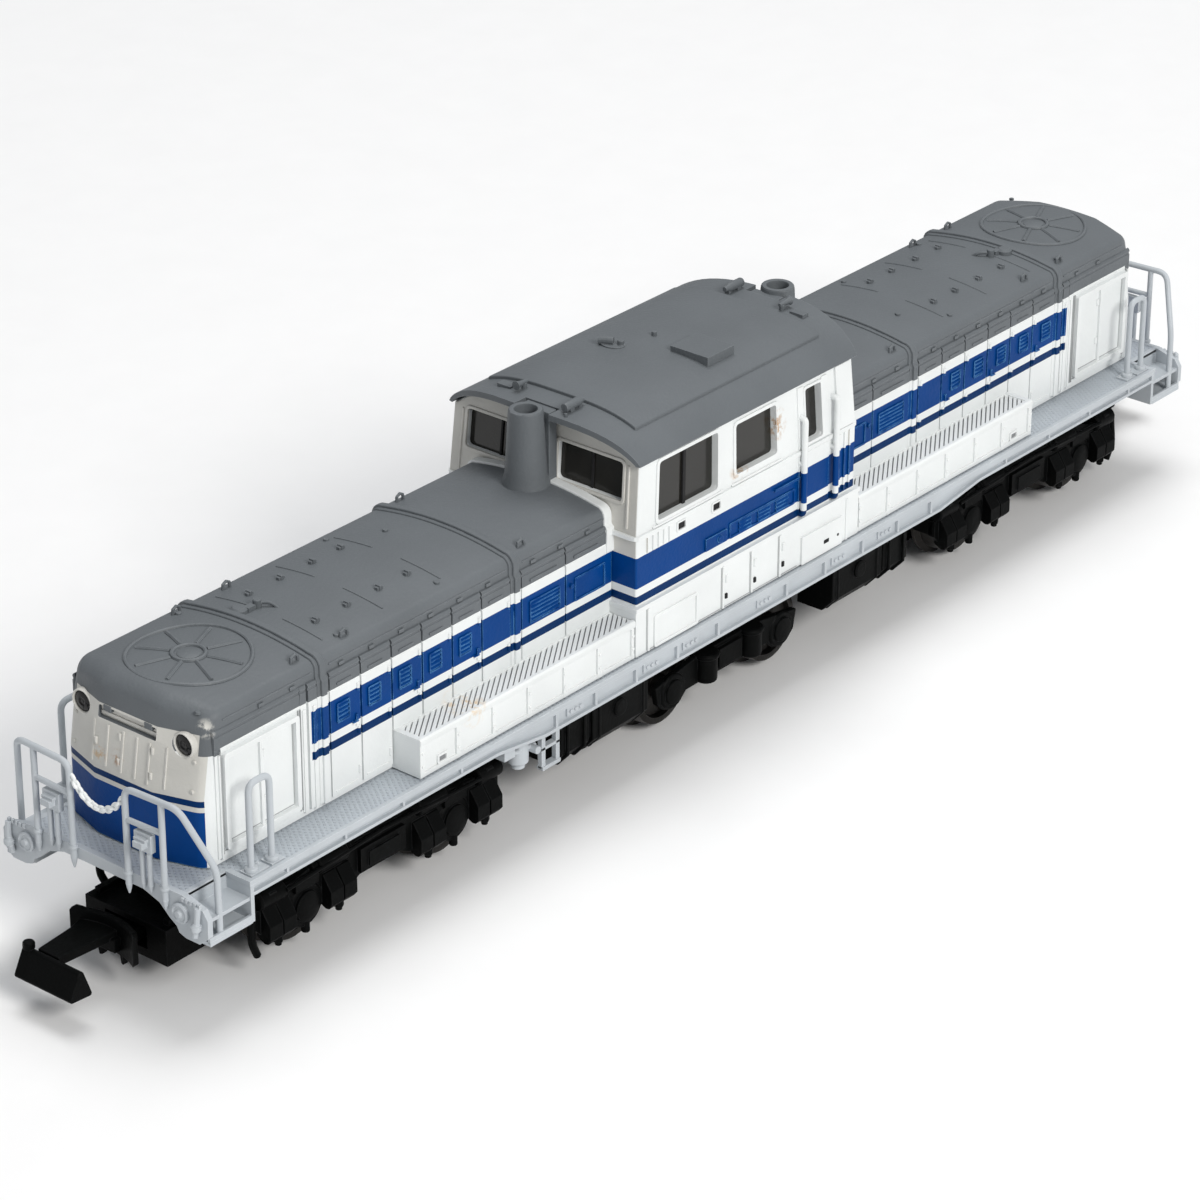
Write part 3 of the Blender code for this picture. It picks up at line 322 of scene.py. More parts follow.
class Shape:
    """One mesh under construction, in millimetres of the part's frame."""

    def __init__(self):
        self.bm = bmesh.new()

    def ring(self, points):
        return [self.bm.verts.new(point) for point in points]

    def skin(self, rings, mat=0, caps=True, loop=False):
        """Joins each ring of points to the next, and caps the ends or goes round to the first again."""
        made = [self.bm.faces.new(rings[0]), self.bm.faces.new(rings[-1])] if caps else []
        pairs = list(zip(rings, rings[1:]))
        if loop:
            pairs.append((rings[-1], rings[0]))
        for first, second in pairs:
            for step in range(len(first)):
                after = (step + 1) % len(first)
                made.append(self.bm.faces.new((first[step], first[after], second[after], second[step])))
        bmesh.ops.recalc_face_normals(self.bm, faces=made)
        for face in made:
            face.material_index = mat
        return self

    def prism(self, axis, outline, low, high, mat=0):
        """An outline drawn out along an axis."""
        return self.skin([self.ring(placed(axis, a, b, x) for a, b in outline) for x in (low, high)], mat)

    def box(self, low, high, mat=0):
        (x0, y0, z0), (x1, y1, z1) = low, high
        x0, x1 = sorted((x0, x1))
        y0, y1 = sorted((y0, y1))
        return self.prism("Z", [(x0, y0), (x1, y0), (x1, y1), (x0, y1)], z0, z1, mat)

    def plate(self, x_span, z_span, face, proud):
        """A box let into a wall across Y, standing proud of its face."""
        (x0, x1), (z0, z1) = x_span, z_span
        out = math.copysign(1, face)
        return self.box((x0, face - out * 0.1, z0), (x1, face + out * proud, z1))

    def lathe(self, axis, profile, centre=(0, 0), sides=24):
        """A profile of (along, radius) points turned round an axis."""
        rings = []
        for along, radius in profile:
            spokes = [math.tau * (step + 0.5) / sides for step in range(sides)]
            circle = [(centre[0] + radius * math.cos(a), centre[1] + radius * math.sin(a)) for a in spokes]
            rings.append(self.ring(placed(axis, a, b, along) for a, b in circle))
        return self.skin(rings)

    def rod(self, axis, radius, low, high, centre=(0, 0), sides=20):
        """A round bar with chamfered ends."""
        low, high = sorted((low, high))
        edge = min(radius * 0.18, (high - low) * 0.3)
        profile = [(low, radius - edge), (low + edge, radius), (high - edge, radius), (high, radius - edge)]
        return self.lathe(axis, profile, centre, sides)

    def tube(self, points, radius, sides=10, closed=False):
        """A round bar along a line of points, its rings turned with the line."""
        line = [Vector(p) for p in points]
        count = len(line)
        rings = []
        side = None
        for index, point in enumerate(line):
            if closed:
                heading = (line[(index + 1) % count] - line[index - 1]).normalized()
            else:
                heading = (line[min(index + 1, count - 1)] - line[max(index - 1, 0)]).normalized()
            if side is None:
                side = heading.orthogonal()
            side = (side - heading * side.dot(heading)).normalized()
            other = heading.cross(side)
            spokes = []
            for step in range(sides):
                angle = math.tau * step / sides
                spokes.append(side * (math.cos(angle) * radius) + other * (math.sin(angle) * radius))
            rings.append(self.ring((point + spoke) * MM for spoke in spokes))
        return self.skin(rings, caps=not closed, loop=closed)

    def add(self, other, matrix=None):
        mesh = bpy.data.meshes.new("part")
        other.bm.to_mesh(mesh)
        if matrix is not None:
            mesh.transform(matrix)
            if matrix.determinant() < 0:
                mesh.flip_normals()
        self.bm.from_mesh(mesh)
        bpy.data.meshes.remove(mesh)
        return self

    def mirror(self, *signs):
        """Adds mirrored copies of everything so far: signs are (x, y) pairs."""
        whole = Shape()
        whole.add(self)
        for x, y in signs:
            self.add(whole, Matrix.Diagonal((x, y, 1, 1)))
        whole.bm.free()
        return self

    def all_corners(self):
        return self.mirror((-1, 1), (1, -1), (-1, -1))

    def move(self, change):
        for vert in self.bm.verts:
            vert.co = Vector(change(*(vert.co / MM))) * MM
        return self

    def slice(self, axis, *values):
        """Cuts the surface along planes across the axis, so that paint can end there."""
        normal = {"X": (1, 0, 0), "Y": (0, 1, 0), "Z": (0, 0, 1)}[axis]
        for value in values:
            everything = self.bm.verts[:] + self.bm.edges[:] + self.bm.faces[:]
            centre = Vector(normal) * value * MM
            bmesh.ops.bisect_plane(self.bm, geom=everything, dist=1e-7, plane_co=centre, plane_no=normal)
        return self

    def paint(self, rule):
        self.bm.normal_update()
        for face in self.bm.faces:
            face.material_index = rule(face.calc_center_median() / MM, face.normal)
        return self

    def object(self, name):
        mesh = bpy.data.meshes.new(name)
        self.bm.to_mesh(mesh)
        self.bm.free()
        made = bpy.data.objects.new(name, mesh)
        bpy.context.scene.collection.objects.link(made)
        return made


def cut(shape, *cutters):
    """The shape less the cutters."""
    return combined(shape, cutters, "DIFFERENCE")


def common(shape, *others):
    """What the shape shares with the others."""
    return combined(shape, others, "INTERSECT")


def combined(shape, others, operation):
    """The shape after exact Booleans with the others, which are used up."""
    target = shape.object("target")
    tools = [other.object(f"tool_{index}") for index, other in enumerate(others)]
    for tool in tools:
        modifier = target.modifiers.new("combine", "BOOLEAN")
        modifier.solver = "EXACT"
        modifier.operation = operation
        modifier.use_self = operation == "DIFFERENCE"
        modifier.object = tool
    bpy.context.view_layer.update()
    graph = bpy.context.evaluated_depsgraph_get()
    mesh = bpy.data.meshes.new_from_object(target.evaluated_get(graph))
    made = Shape()
    made.bm.from_mesh(mesh)
    bpy.data.meshes.remove(mesh)
    for obj in (target, *tools):
        bpy.data.objects.remove(obj, do_unlink=True)
    return made


def piece(shape, name, materials, bevel=0.06, segments=2, replaces=(), limit=30, body="chassis"):
    """Turns a shape into a finished piece that rides on a body, with bevelled or merely sharp edges."""
    obj = shape.object(name)
    for mat in materials:
        obj.data.materials.append(mat)
    obj.data.shade_smooth()
    if bevel:
        edge = obj.modifiers.new("soft_edges", "BEVEL")
        edge.width = bevel * MM
        edge.segments = segments
        edge.limit_method = "ANGLE"
        edge.angle_limit = math.radians(limit)
        edge.harden_normals = True
        edge.use_clamp_overlap = True
    else:
        obj.data.set_sharp_from_angle(angle=math.radians(40))
    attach(obj, body)
    if replaces:
        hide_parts(*replaces)
    return obj


# ---------------------------------------------------------------- livery

SIDE_BANDS = ((BLUE_TOP_Z, IS_WHITE), (BLUE_LOW_Z, IS_BLUE), (NAVY_TOP_Z, IS_WHITE), (NAVY_LOW_Z, IS_NAVY))
# On the end faces the white is the darker copy that paints their shade.
FACE_BANDS = ((FACE_NAVY_TOP_Z, IS_END_WHITE_SHADE), (FACE_NAVY_LOW_Z, IS_NAVY), (FACE_BLUE_TOP_Z, IS_END_WHITE_SHADE))
SIDE_BAND_Z = [low for low, paint in SIDE_BANDS]
FACE_BAND_Z = [low for low, paint in FACE_BANDS]


def band(z, bands, lowest):
    """The paint at a height, from bands given by their lower edges, topmost first."""
    for low, paint in bands:
        if z > low:
            return paint
    return lowest


def hood_paint(centre, normal):
    on_face = abs(normal.x) > 0.6 and abs(centre.x) > NOSE_CORNER_X - 2.4 and abs(centre.y) < 6.1
    corner = abs(centre.x) > TAB_X and (not on_face or abs(centre.y) > CORNER_Y)
    edge = GREY_FACE_Z if on_face else GREY_SIDE_Z
    if centre.z > (GREY_TAB_Z if corner else edge):
        return IS_GREY
    if on_face:
        return band(centre.z, FACE_BANDS, IS_BLUE)
    if abs(centre.x) > BAND_END_X:
        return IS_WHITE
    return band(centre.z, SIDE_BANDS, IS_WHITE)


def with_livery(shape):
    """The shape cut at the edges of every band, and painted."""
    shape.slice("Z", GREY_FACE_Z, GREY_SIDE_Z, GREY_TAB_Z, *SIDE_BAND_Z, *FACE_BAND_Z)
    shape.slice("X", BAND_END_X, -BAND_END_X, TAB_X, -TAB_X)
    return shape.paint(hood_paint)


def hood_profile(grow=0.0, floor=BODY_Z, wall=HOOD_WALL_Y):
    """Half the hood's cross-section from the floor to the crown: wall, ledge, rounded shoulder and roof."""
    side = [
        (wall + grow, floor), (wall + grow, LEDGE_Z), (ROOF_WALL_Y + grow, 19.05),
        (ROOF_WALL_Y + grow, SHOULDER_Z - SHOULDER_R),
    ]
    for step in range(1, 6):
        angle = math.radians(18 * step)
        reach = SHOULDER_R + grow
        rise = SHOULDER_Z - SHOULDER_R + reach * math.sin(angle)
        side.append((SHOULDER_Y + reach * math.cos(angle), rise))
    for step in range(1, 9):
        y = SHOULDER_Y * (1 - step / 8)
        side.append((y, roof_height(y) + grow))
    return side


def face_x(y, z):
    """How far out the end face lies at a place on it."""
    bow = max(abs(y) - NOSE_FLAT_Y, 0.0) * (NOSE_X - NOSE_CORNER_X) / (HOOD_Y - NOSE_FLAT_Y)
    lean = NOSE_LEAN * max(z - NOSE_BREAK_Z, 0.0)
    return NOSE_X - bow - lean


def hood_block():
    """The hoods as one long body whose ends are rounded, bowed and leaned back."""
    outline = mirrored(hood_profile())
    block = Shape()
    rings = []
    for end in (-1, 1):
        for step in range(9) if end > 0 else range(8, -1, -1):
            angle = math.pi / 2 * step / 8
            points = []
            for y, z in outline:
                high = min(max((z - LEDGE_Z) / (HOOD_CROWN_Z - LEDGE_Z), 0.0), 1.0)
                inner_y = y * (HOOD_WALL_Y - 0.75) / HOOD_WALL_Y
                inner_z = z if z < LEDGE_Z else LEDGE_Z + (z - LEDGE_Z) * 0.5
                share = 1 - math.cos(angle)
                x = NOSE_X - (0.7 + 0.7 * high) * (1 - math.sin(angle))
                points.append(Vector((end * x, y + (inner_y - y) * share, z + (inner_z - z) * share)) * MM)
            rings.append(block.ring(points))
    block.skin(rings)
    block.slice("Z", NOSE_BREAK_Z).slice("Y", NOSE_FLAT_Y, -NOSE_FLAT_Y)
    return block.move(nose_shape)


def nose_shape(x, y, z):
    """Draws the ends back towards their corners and their tops."""
    if abs(x) < 45.0:
        return x, y, z
    back = NOSE_X - face_x(y, z)
    return math.copysign(abs(x) - back, x), y, z


def hoods():
    body = hood_block()
    recesses = Shape()
    for end in (-1, 1):
        for side in (-1, 1):
            x = face_x(LAMP_Y, LAMP_Z) - 0.35
            recesses.rod("X", LAMP_R + 0.1, end * x, end * 56, (side * LAMP_Y, LAMP_Z), 28)
        x = face_x(0, 18.2) - 0.3
        recesses.prism("X", rounded((-2.6, 17.75), (2.6, 18.6), 0.12), *sorted((end * x, end * 56)))
    body = cut(body, recesses)
    body.slice("Y", CORNER_Y, -CORNER_Y)
    piece(with_livery(body), "hood_body", LIVERY, 0.07, 2, ["body_shell"], 34)


def hood_ribs():
    """Raised bands round both hoods, each with a groove beside it."""
    ribs = Shape()
    inner = mirrored(hood_profile(-0.35, BODY_Z + 0.3))[::-1]
    for x in RIBS_X:
        for end in (-1, 1):
            for proud, half in ((0.3, 0.27), (0.12, 0.55)):
                outer = mirrored(hood_profile(proud, BODY_Z + 0.3, HOOD_Y - 0.05))
                ribs.prism("X", outer + inner, end * x - half, end * x + half)
    piece(with_livery(ribs), "hood_ribs", LIVERY, 0.12, 3, limit=30)


def door_outline(proud):
    """A door's section: its face, the groove near its top and the rounded top edge."""
    face = HOOD_Y + proud
    return [
        (HOOD_WALL_Y - 0.1, 9.85), (face, 9.85), (face, 17.62), (face - 0.05, 17.68), (face, 17.74),
        (face, 18.56), (face - 0.07, 18.62), (face - 0.07, 18.74), (face, 18.8), (face - 0.03, 18.92),
        (face - 0.1, 19.02), (HOOD_WALL_Y - 0.1, 19.06),
    ]


def hood_doors():
    """Side doors as raised panels with deep gaps between them."""
    doors = Shape()
    for door in range(DOORS):
        low = DOOR_START + door * DOOR_PITCH + 0.08
        doors.prism("X", door_outline(DOOR_PROUD), low, low + DOOR_PITCH - 0.16)
    for low, high in ((12.7, 17.55), (17.7, 22.2), (42.5, 43.3)):
        doors.prism("X", door_outline(DOOR_PROUD), low, high)
    for low, high, proud in ((43.45, 44.0, 0.0), (44.0, 51.85, -END_PANEL_INSET)):
        doors.prism("X", door_outline(proud), low, high)
    doors.all_corners()
    piece(with_livery(doors), "hood_doors", LIVERY, 0.03, 1)


def louvre(shape, x0, x1, z0, z1, face, slats):
    """A raised rim round a row of sloping slats, on a wall that faces +Y."""
    frame_ring(shape, "Y", (x0, z0), (x1, z1), 0.1, face - 0.05, face + 0.13, 0.1)
    pitch = (z1 - z0) / slats
    for slat in range(slats):
        z = z0 + slat * pitch
        tip = [(face + 0.13, z + 0.06), (face + 0.12, z + 0.13)]
        outline = [(face - 0.02, z + 0.04), *tip, (face - 0.02, z + pitch * 0.9)]
        shape.prism("X", outline, x0 + 0.02, x1 - 0.02)


def hood_side_details():
    """Louvres, handles, hinges and raised outlines on the doors, in their bands' colours."""
    details = Shape()
    face = HOOD_Y + DOOR_PROUD
    for door in range(DOORS):
        low = DOOR_START + door * DOOR_PITCH
        if door:
            louvre(details, low + 1.25, low + 2.3, 15.25, 16.5, face, 4)
        for z in (10.6, 13.6, 16.75):
            details.rod("Z", 0.13, z, z + 0.6, (low + 0.3, face + 0.02), 8)
        if door % 2:
            details.plate((low + 0.42, low + 0.62), (14.2, 15.1), face, 0.14)
            details.box((low + 0.45, face, 14.5), (low + 0.95, face + 0.2, 14.66))
        details.plate((low + 0.9, low + 2.3), (17.95, 18.1), face, 0.07)
        details.plate((low + 0.5, low + 2.6), (10.1, 10.22), face, 0.05)
    frame_ring(details, "Y", (13.6, 14.75), (16.6, 16.3), 0.14, face - 0.05, face + 0.1, 0.12)
    louvre(details, 18.4, 21.4, 14.9, 16.4, face, 5)
    details.plate((14.2, 16.8), (17.95, 18.15), face, 0.09)
    details.plate((18.6, 21.4), (17.95, 18.15), face, 0.09)
    details.rod("Y", 0.18, face - 0.1, face + 0.22, (17.1, 16.0), 12)
    details.all_corners()
    piece(with_livery(details), "hood_door_details", LIVERY, 0.02, 1)


def frame_ring(shape, axis, low, high, width, near, far, radius):
    """A flat picture frame round a rectangle, standing from near to far along the axis."""
    outer = rounded((low[0] - width, low[1] - width), (high[0] + width, high[1] + width), radius)
    inner = rounded(low, high, max(radius - width * 0.6, 0.05))
    loops = ((outer, near), (outer, far), (inner, far), (inner, near))
    rings = [shape.ring(placed(axis, a, b, along) for a, b in outline) for outline, along in loops]
    return shape.skin(rings, caps=False, loop=True)


def end_panels():
    """The large framed panels at the hoods' outer ends, with the strips beside them."""
    panels = Shape()
    face = HOOD_Y - END_PANEL_INSET
    frame_ring(panels, "Y", (44.75, 10.75), (50.95, 17.0), 0.36, face - 0.1, face + 0.34, 0.22)
    panels.plate((47.72, 47.96), (10.6, 17.1), face, 0.2)
    for z in (12.3, 15.6):
        panels.rod("Z", 0.14, z, z + 0.5, (47.55, face + 0.03), 8)
    for low, high, proud in ((42.75, 42.95, 0.16), (43.6, 43.85, 0.08), (51.5, 51.62, 0.1)):
        panels.box((low, HOOD_Y - 0.1, 9.8), (high, HOOD_Y + proud, 17.35))
    panels.all_corners()
    piece(with_livery(panels), "hood_end_panels", LIVERY, 0.07, 2)


def seam_shadow_strips():
    """Narrow grey strips that paint the shadow lines along the joints beside the raised frames of the hoods'
    ends and of the cab's foot.
    """
    seams = Shape()
    face = HOOD_Y - END_PANEL_INSET
    for low, high in ((44.2, 44.28), (51.38, 51.46), (42.3, 42.37), (44.02, 44.08)):
        seams.plate((low, high), (10.1, 17.5), face, 0.1)
    seams.plate((44.3, 51.4), (10.24, 10.31), face, 0.03)
    seams.plate((44.8, 50.9), (10.83, 10.89), face, 0.03)
    for x in (44.8, 50.9):
        seams.plate((x - 0.03, x + 0.03), (10.9, 16.9), face, 0.03)
    seams.mirror((-1, 1), (1, -1), (-1, -1))
    foot = Shape()
    for x in (-11.75, -3.35, -0.05, 3.25):
        foot.box((x - 0.03, -BOX_Y - 0.03, 9.6), (x + 0.03, -BOX_Y + 0.1, 12.8))
    foot.box((-11.6, -BOX_Y - 0.03, 9.55), (5.5, -BOX_Y + 0.1, 9.62))
    foot.mirror((-1, -1))
    seams.add(foot)
    piece(seams, "seam_shadow_strips", [SEAM_SHADE], 0)


def hood_collars():
    """White collars where the hoods' roofs meet the cab."""
    collars = Shape()
    outline = mirrored(hood_profile(0.16, 17.0, HOOD_Y + 0.05)) + mirrored(hood_profile(-0.35, 17.0))[::-1]
    for end in (-1, 1):
        collars.prism("X", outline, *sorted((end * 12.5, end * 13.3)))
    piece(collars, "hood_collars", [WHITE], 0.1, 2)


def end_face_details():
    """Number-plate notches, door seams, hinges and a latch on each end face."""
    details = Shape()
    for end in (-1, 1):
        x = face_x(0, 18.2)
        for y in (-1.83, 1.83):
            details.box((end * (x - 0.4), y - 0.34, 18.3), (end * (x - 0.02), y + 0.34, 18.72), 1)
        details.box((end * (x - 0.4), -2.55, 17.9), (end * (x - 0.2), 2.55, 18.15))
        for y in (2.9, 1.6, 0.23, -1.0, -2.13, -3.4):
            corners = ((14.7, 0.07), (17.5, 0.07), (17.5, -0.3), (14.7, -0.3))
            seam = [(end * (face_x(y, z) + lift), z) for z, lift in corners]
            details.prism("Y", seam, y - 0.08, y + 0.08)
        for y, z in ((0.5, 15.1), (0.5, 16.8), (-2.4, 15.1), (-2.4, 16.8), (2.6, 15.9)):
            details.rod("Z", 0.13, z, z + 0.5, (end * face_x(y, z + 0.25), y), 10)
        for y, z in ((-5.3, 16.9), (5.3, 16.9), (-5.3, 14.9), (5.3, 14.9)):
            details.rod("X", 0.15, end * (face_x(y, z) - 0.2), end * (face_x(y, z) + 0.1), (y, z), 10)
    # The details take the end faces' darker white, which paints their shade.
    piece(details, "end_face_details", [END_WHITE_SHADE, GREY], 0.03, 1)


def headlights():
    """Dark lenses in thin raised rims, in front of the light guides' ends."""
    rings = Shape()
    lenses = Shape()
    front = face_x(LAMP_Y, LAMP_Z)
    outer = LAMP_R + 0.13
    inner = LAMP_R - 0.02
    rim = [(-0.4, outer), (0.12, outer), (0.18, outer - 0.04)]
    rim += [(0.18, LAMP_R + 0.03), (0.1, inner), (-0.4, inner)]
    lens = [(-0.3, LAMP_R), (0.03, LAMP_R), (0.1, LAMP_R - 0.14)]
    lens += [(0.13, 0.32), (0.08, 0.26), (0.06, 0.12), (0.1, 0.02)]
    for end in (-1, 1):
        for side in (-1, 1):
            centre = (side * LAMP_Y, LAMP_Z)
            rings.lathe("X", [(end * (front + x), r) for x, r in rim], centre, 32)
            lenses.lathe("X", [(end * (front + x), r) for x, r in lens], centre, 28)
    # The rims take the end faces' darker white, which paints their shade.
    piece(rings, "headlight_rings", [END_WHITE_SHADE], 0)
    piece(lenses, "headlight_lenses", [LENS], 0)


def roof_height(y):
    """The hood roof's height at a distance from the centre line."""
    share = min(abs(y) / SHOULDER_Y, 1.0)
    return SHOULDER_Z + (HOOD_CROWN_Z - SHOULDER_Z) * (1 - share ** 2)


def on_roof(points):
    """Points (x, y, lift) set on the hood roof, which falls away towards the end faces."""
    made = []
    for x, y, lift in points:
        fall = max(abs(x) - 50.6, 0.0)
        made.append((x, y, roof_height(y) - 0.12 * fall ** 2 + lift))
    return made


def roof_fans():
    """A thin ring, a double hub and raised spokes on each hood's end."""
    fans = Shape()
    for end in (-1, 1):
        cx = end * FAN_X
        for radius, thick in ((4.1, 0.14), (1.1, 0.16)):
            ring = []
            for step in range(56):
                angle = math.tau * step / 56
                ring.append((cx + radius * math.cos(angle), radius * math.sin(angle), 0.02))
            fans.tube(on_roof(ring), thick, 8, closed=True)
        for spoke in range(8):
            angle = math.tau * (spoke + 0.5) / 8
            line = [(cx + r * math.cos(angle), r * math.sin(angle), 0.0) for r in (1.3, 2.0, 2.8, 3.7)]
            fans.tube(on_roof(line), 0.15, 6)
        fans.lathe("Z", [(20.3, 0.8), (20.88, 0.78), (20.92, 0.7)], (cx, 0), 24)
    piece(fans, "roof_fans", [GREY], 0)


def roof_fittings():
    """Clips, lifting eyes, seams, caps and a valve on the hood roofs."""
    bumps = Shape()
    clips = [(x, y) for x in (38.8, 35.8, 32.7, 29.9) for y in (-3.0, 3.0)]
    for x, y in clips:
        z = roof_height(y)
        bumps.box((x - 0.28, y - 0.16, z - 0.2), (x + 0.28, y + 0.16, z + 0.2))
        bumps.box((x - 0.12, y - 0.22, z - 0.1), (x + 0.12, y + 0.22, z + 0.32))
    for x, y in ((43.3, 5.3), (38.6, 5.3), (43.3, -5.3), (38.6, -5.3), (21.2, 5.5), (21.2, -5.5)):
        z = roof_height(y)
        arch = ((-0.34, -0.1), (-0.3, 0.35), (0.0, 0.5), (0.3, 0.35), (0.34, -0.1))
        bumps.tube([(x + along, y, z + lift) for along, lift in arch], 0.12, 8)
    for x, y in ((39.0, 5.0), (29.2, 5.0), (43.4, -5.0), (29.2, -5.0), (26.1, -2.4), (52.0, 5.2)):
        bumps.rod("Z", 0.2, 20.1, on_roof([(x, y, 0.16)])[0][2], (x, y), 12)
    for y0, y1 in ((1.3, 4.8), (-4.8, -1.3)):
        for x in (40.1, 34.3, 28.6):
            bumps.tube(on_roof([(x, y0 + (y1 - y0) * k / 6, 0.0) for k in range(7)]), 0.09, 6)
    bumps.lathe("Z", [(20.2, 0.62), (21.05, 0.6), (21.2, 0.42), (21.22, 0.1)], (41.2, -1.6), 20)
    bumps.rod("Z", 0.3, 20.3, 21.4, (39.9, -1.2), 14)
    bumps.tube(bend([(39.9, -1.2, 21.1), (39.3, -0.6, 21.15), (39.0, 0.2, 20.6)], 0.4), 0.13, 8)
    bumps.box((40.2, -1.5, 20.4), (40.9, -1.0, 21.15))
    bumps.mirror((-1, -1))
    piece(bumps, "roof_fittings", [GREY], 0.03, 1)


def roof_side_grooves():
    """Thin strips along the roof walls between the ribs."""
    strips = Shape()
    for low, high in ((13.2, 21.9), (23.6, 41.1), (42.7, 50.9)):
        strips.box((low, ROOF_WALL_Y - 0.2, 19.5), (high, ROOF_WALL_Y + 0.06, 19.62))
        for k in range(int((high - low) / 2.9)):
            x = low + 1.6 + 2.9 * k
            strips.box((x, ROOF_WALL_Y - 0.2, 19.12), (x + 0.5, ROOF_WALL_Y + 0.14, 19.36))
    strips.all_corners()
    piece(strips, "roof_side_strips", [GREY], 0.03, 1)


# ---------------------------------------------------------------- side boxes

def box_slats(low, high, top):
    """Slanting bars across the top of one side box on the -Y side, cut off at its rims."""
    slats = Shape()
    x = low - SLAT_SHIFT
    while x < high:
        outline = [
            (x, -BOX_Y), (x + SLAT_T, -BOX_Y), (x + SLAT_T + SLAT_SHIFT * 1.05, -HOOD_Y + 0.15),
            (x + SLAT_SHIFT * 1.05, -HOOD_Y + 0.15),
        ]
        slats.prism("Z", outline, top - 0.5, top - 0.1)
        x += SLAT_PITCH
    return common(slats, Shape().box((low, -BOX_Y + 0.3, top - 1), (high, -HOOD_Y + 0.05, top + 1)))


def side_boxes():
    """White boxes beside the cab, with a slatted top in a raised rim and ribbed outer panels."""
    boxes = Shape()
    inner, outer, top = HOOD_WALL_Y - 0.1, BOX_Y, BOX_Z
    x0, x1 = CAB_X + 0.35, BOX_X
    boxes.box((x0, inner, BODY_Z), (x1 - 0.1, outer - 0.2, top - 0.5))
    rim = [
        (outer - 0.42, top - 0.55), (outer - 0.04, top - 0.55), (outer + 0.02, top - 0.4),
        (outer + 0.02, top - 0.12), (outer - 0.08, top), (outer - 0.34, top), (outer - 0.42, top - 0.08),
    ]
    boxes.prism("X", rim, x0, x1)
    boxes.box((x1 - 0.42, inner, BODY_Z + 0.02), (x1 + 0.02, outer - 0.04, top - 0.03))
    boxes.box((x0, HOOD_Y + 0.05, top - 0.5), (x1, HOOD_Y + 0.22, top - 0.06))
    boxes.box((x0, outer - 0.3, BODY_Z + 0.01), (x1 - 0.05, outer - 0.06, BODY_Z + 0.34))
    for index, x in enumerate((31.5, 27.9, 24.2, 20.5, 16.8, 13.2, x1 - 0.2)):
        half = 0.13 if index % 2 else 0.2
        boxes.box((x - half, outer - 0.4, BODY_Z + 0.03), (x + half, outer - 0.02, top - 0.3))
        for z in (10.3, 11.3):
            boxes.rod("Y", 0.12, outer - 0.2, outer + 0.07, (x, z), 10)
    frame_ring(boxes, "Y", (32.7, 9.95), (33.4, 10.35), 0.16, outer - 0.3, outer - 0.05, 0.12)
    boxes.all_corners()
    for low, high in ((-x1 + 0.35, -x0), (x0, x1 - 0.35)):
        slats = box_slats(low, high, top)
        boxes.add(slats)
        boxes.add(slats, Matrix.Diagonal((-1, -1, 1, 1)))
    piece(boxes, "side_boxes", [WHITE], 0.03, 1)
    # Grey slabs under the slats and inside the small frame paint the shade within the box.
    dark = Shape()
    dark.box((x0, inner, top - 0.55), (x1 - 0.3, outer - 0.3, top - 0.26))
    dark.box((32.7, outer - 0.4, 9.95), (33.4, outer - 0.16, 10.35))
    dark.all_corners()
    piece(dark, "side_box_well_shade", [WELL_SHADE], 0.02, 1)


# ---------------------------------------------------------------- cab

def taper(x, y, z):
    """Leans the cab's upper walls inwards."""
    share = min(max((z - CAB_BREAK_Z) / (EAVE_Z - CAB_BREAK_Z), 0.0), 1.2)
    return x * (1 + (CAB_TOP_SHARE_X - 1) * share), y * (1 + (CAB_TOP_SHARE_Y - 1) * share), z


SIDE_WINDOWS = ((-10.4, -3.7, 19.1, 23.4), (-1.6, 3.15, 19.4, 23.2), (6.6, 8.5, 18.95, 23.2))
END_WINDOWS = ((1.25, 7.2, 20.85, 23.7), (-7.2, -1.25, 20.85, 23.7))


def roof_arch(lift=0.0, reach=EAVE_Y):
    """The cab roof's outline across Y on the +Y side."""
    points = []
    for step in range(17):
        y = reach * math.cos(math.pi / 2 * step / 16)
        points.append((y, cab_roof_height(y) + lift))
    return points


def cab_roof_height(y):
    across = min(abs(y) / EAVE_Y, 1.0)
    return EAVE_Z + (ROOF_CROWN_Z - EAVE_Z) * (1 - across ** 3.2) ** 0.75


def cab_walls():
    walls = Shape().box((-CAB_X, -CAB_Y, BODY_Z), (CAB_X, CAB_Y, ROOF_CROWN_Z))
    hollow = Shape().box((-CAB_X + 0.8, -CAB_Y + 0.8, CAB_BREAK_Z), (CAB_X - 0.8, CAB_Y - 0.8, 30))
    windows = Shape()
    for x0, x1, z0, z1 in SIDE_WINDOWS:
        windows.prism("Y", rounded((x0, z0), (x1, z1), 0.3), -10, -7)
        windows.prism("Y", rounded((-x1, z0), (-x0, z1), 0.3), 7, 10)
    for y0, y1, z0, z1 in END_WINDOWS:
        for x in (-12, 12):
            windows.prism("X", rounded((y0, z0), (y1, z1), 0.35), x - 2, x + 2)
    walls = cut(walls, hollow, windows)
    arch = [(CAB_Y + 1, 0), (CAB_Y + 1, EAVE_Z - 0.06)] + roof_arch(-0.5, EAVE_Y - 0.4)
    walls = common(walls, Shape().prism("X", mirrored(arch), -20, 20))
    walls.slice("Z", CAB_BREAK_Z, *SIDE_BAND_Z).move(taper)
    walls.paint(cab_paint)
    piece(walls, "cab_walls", LIVERY, 0.28, 3, limit=50)


def cab_paint(centre, normal):
    """White above and below the bands; the end walls take the darker, warmer white that paints their shade.
    """
    if centre.z < 17.5:
        return band(centre.z, SIDE_BANDS, IS_WHITE)
    return IS_END_WHITE_SHADE if abs(normal.x) > 0.6 and abs(centre.x) > CAB_X - 1.2 else IS_WHITE


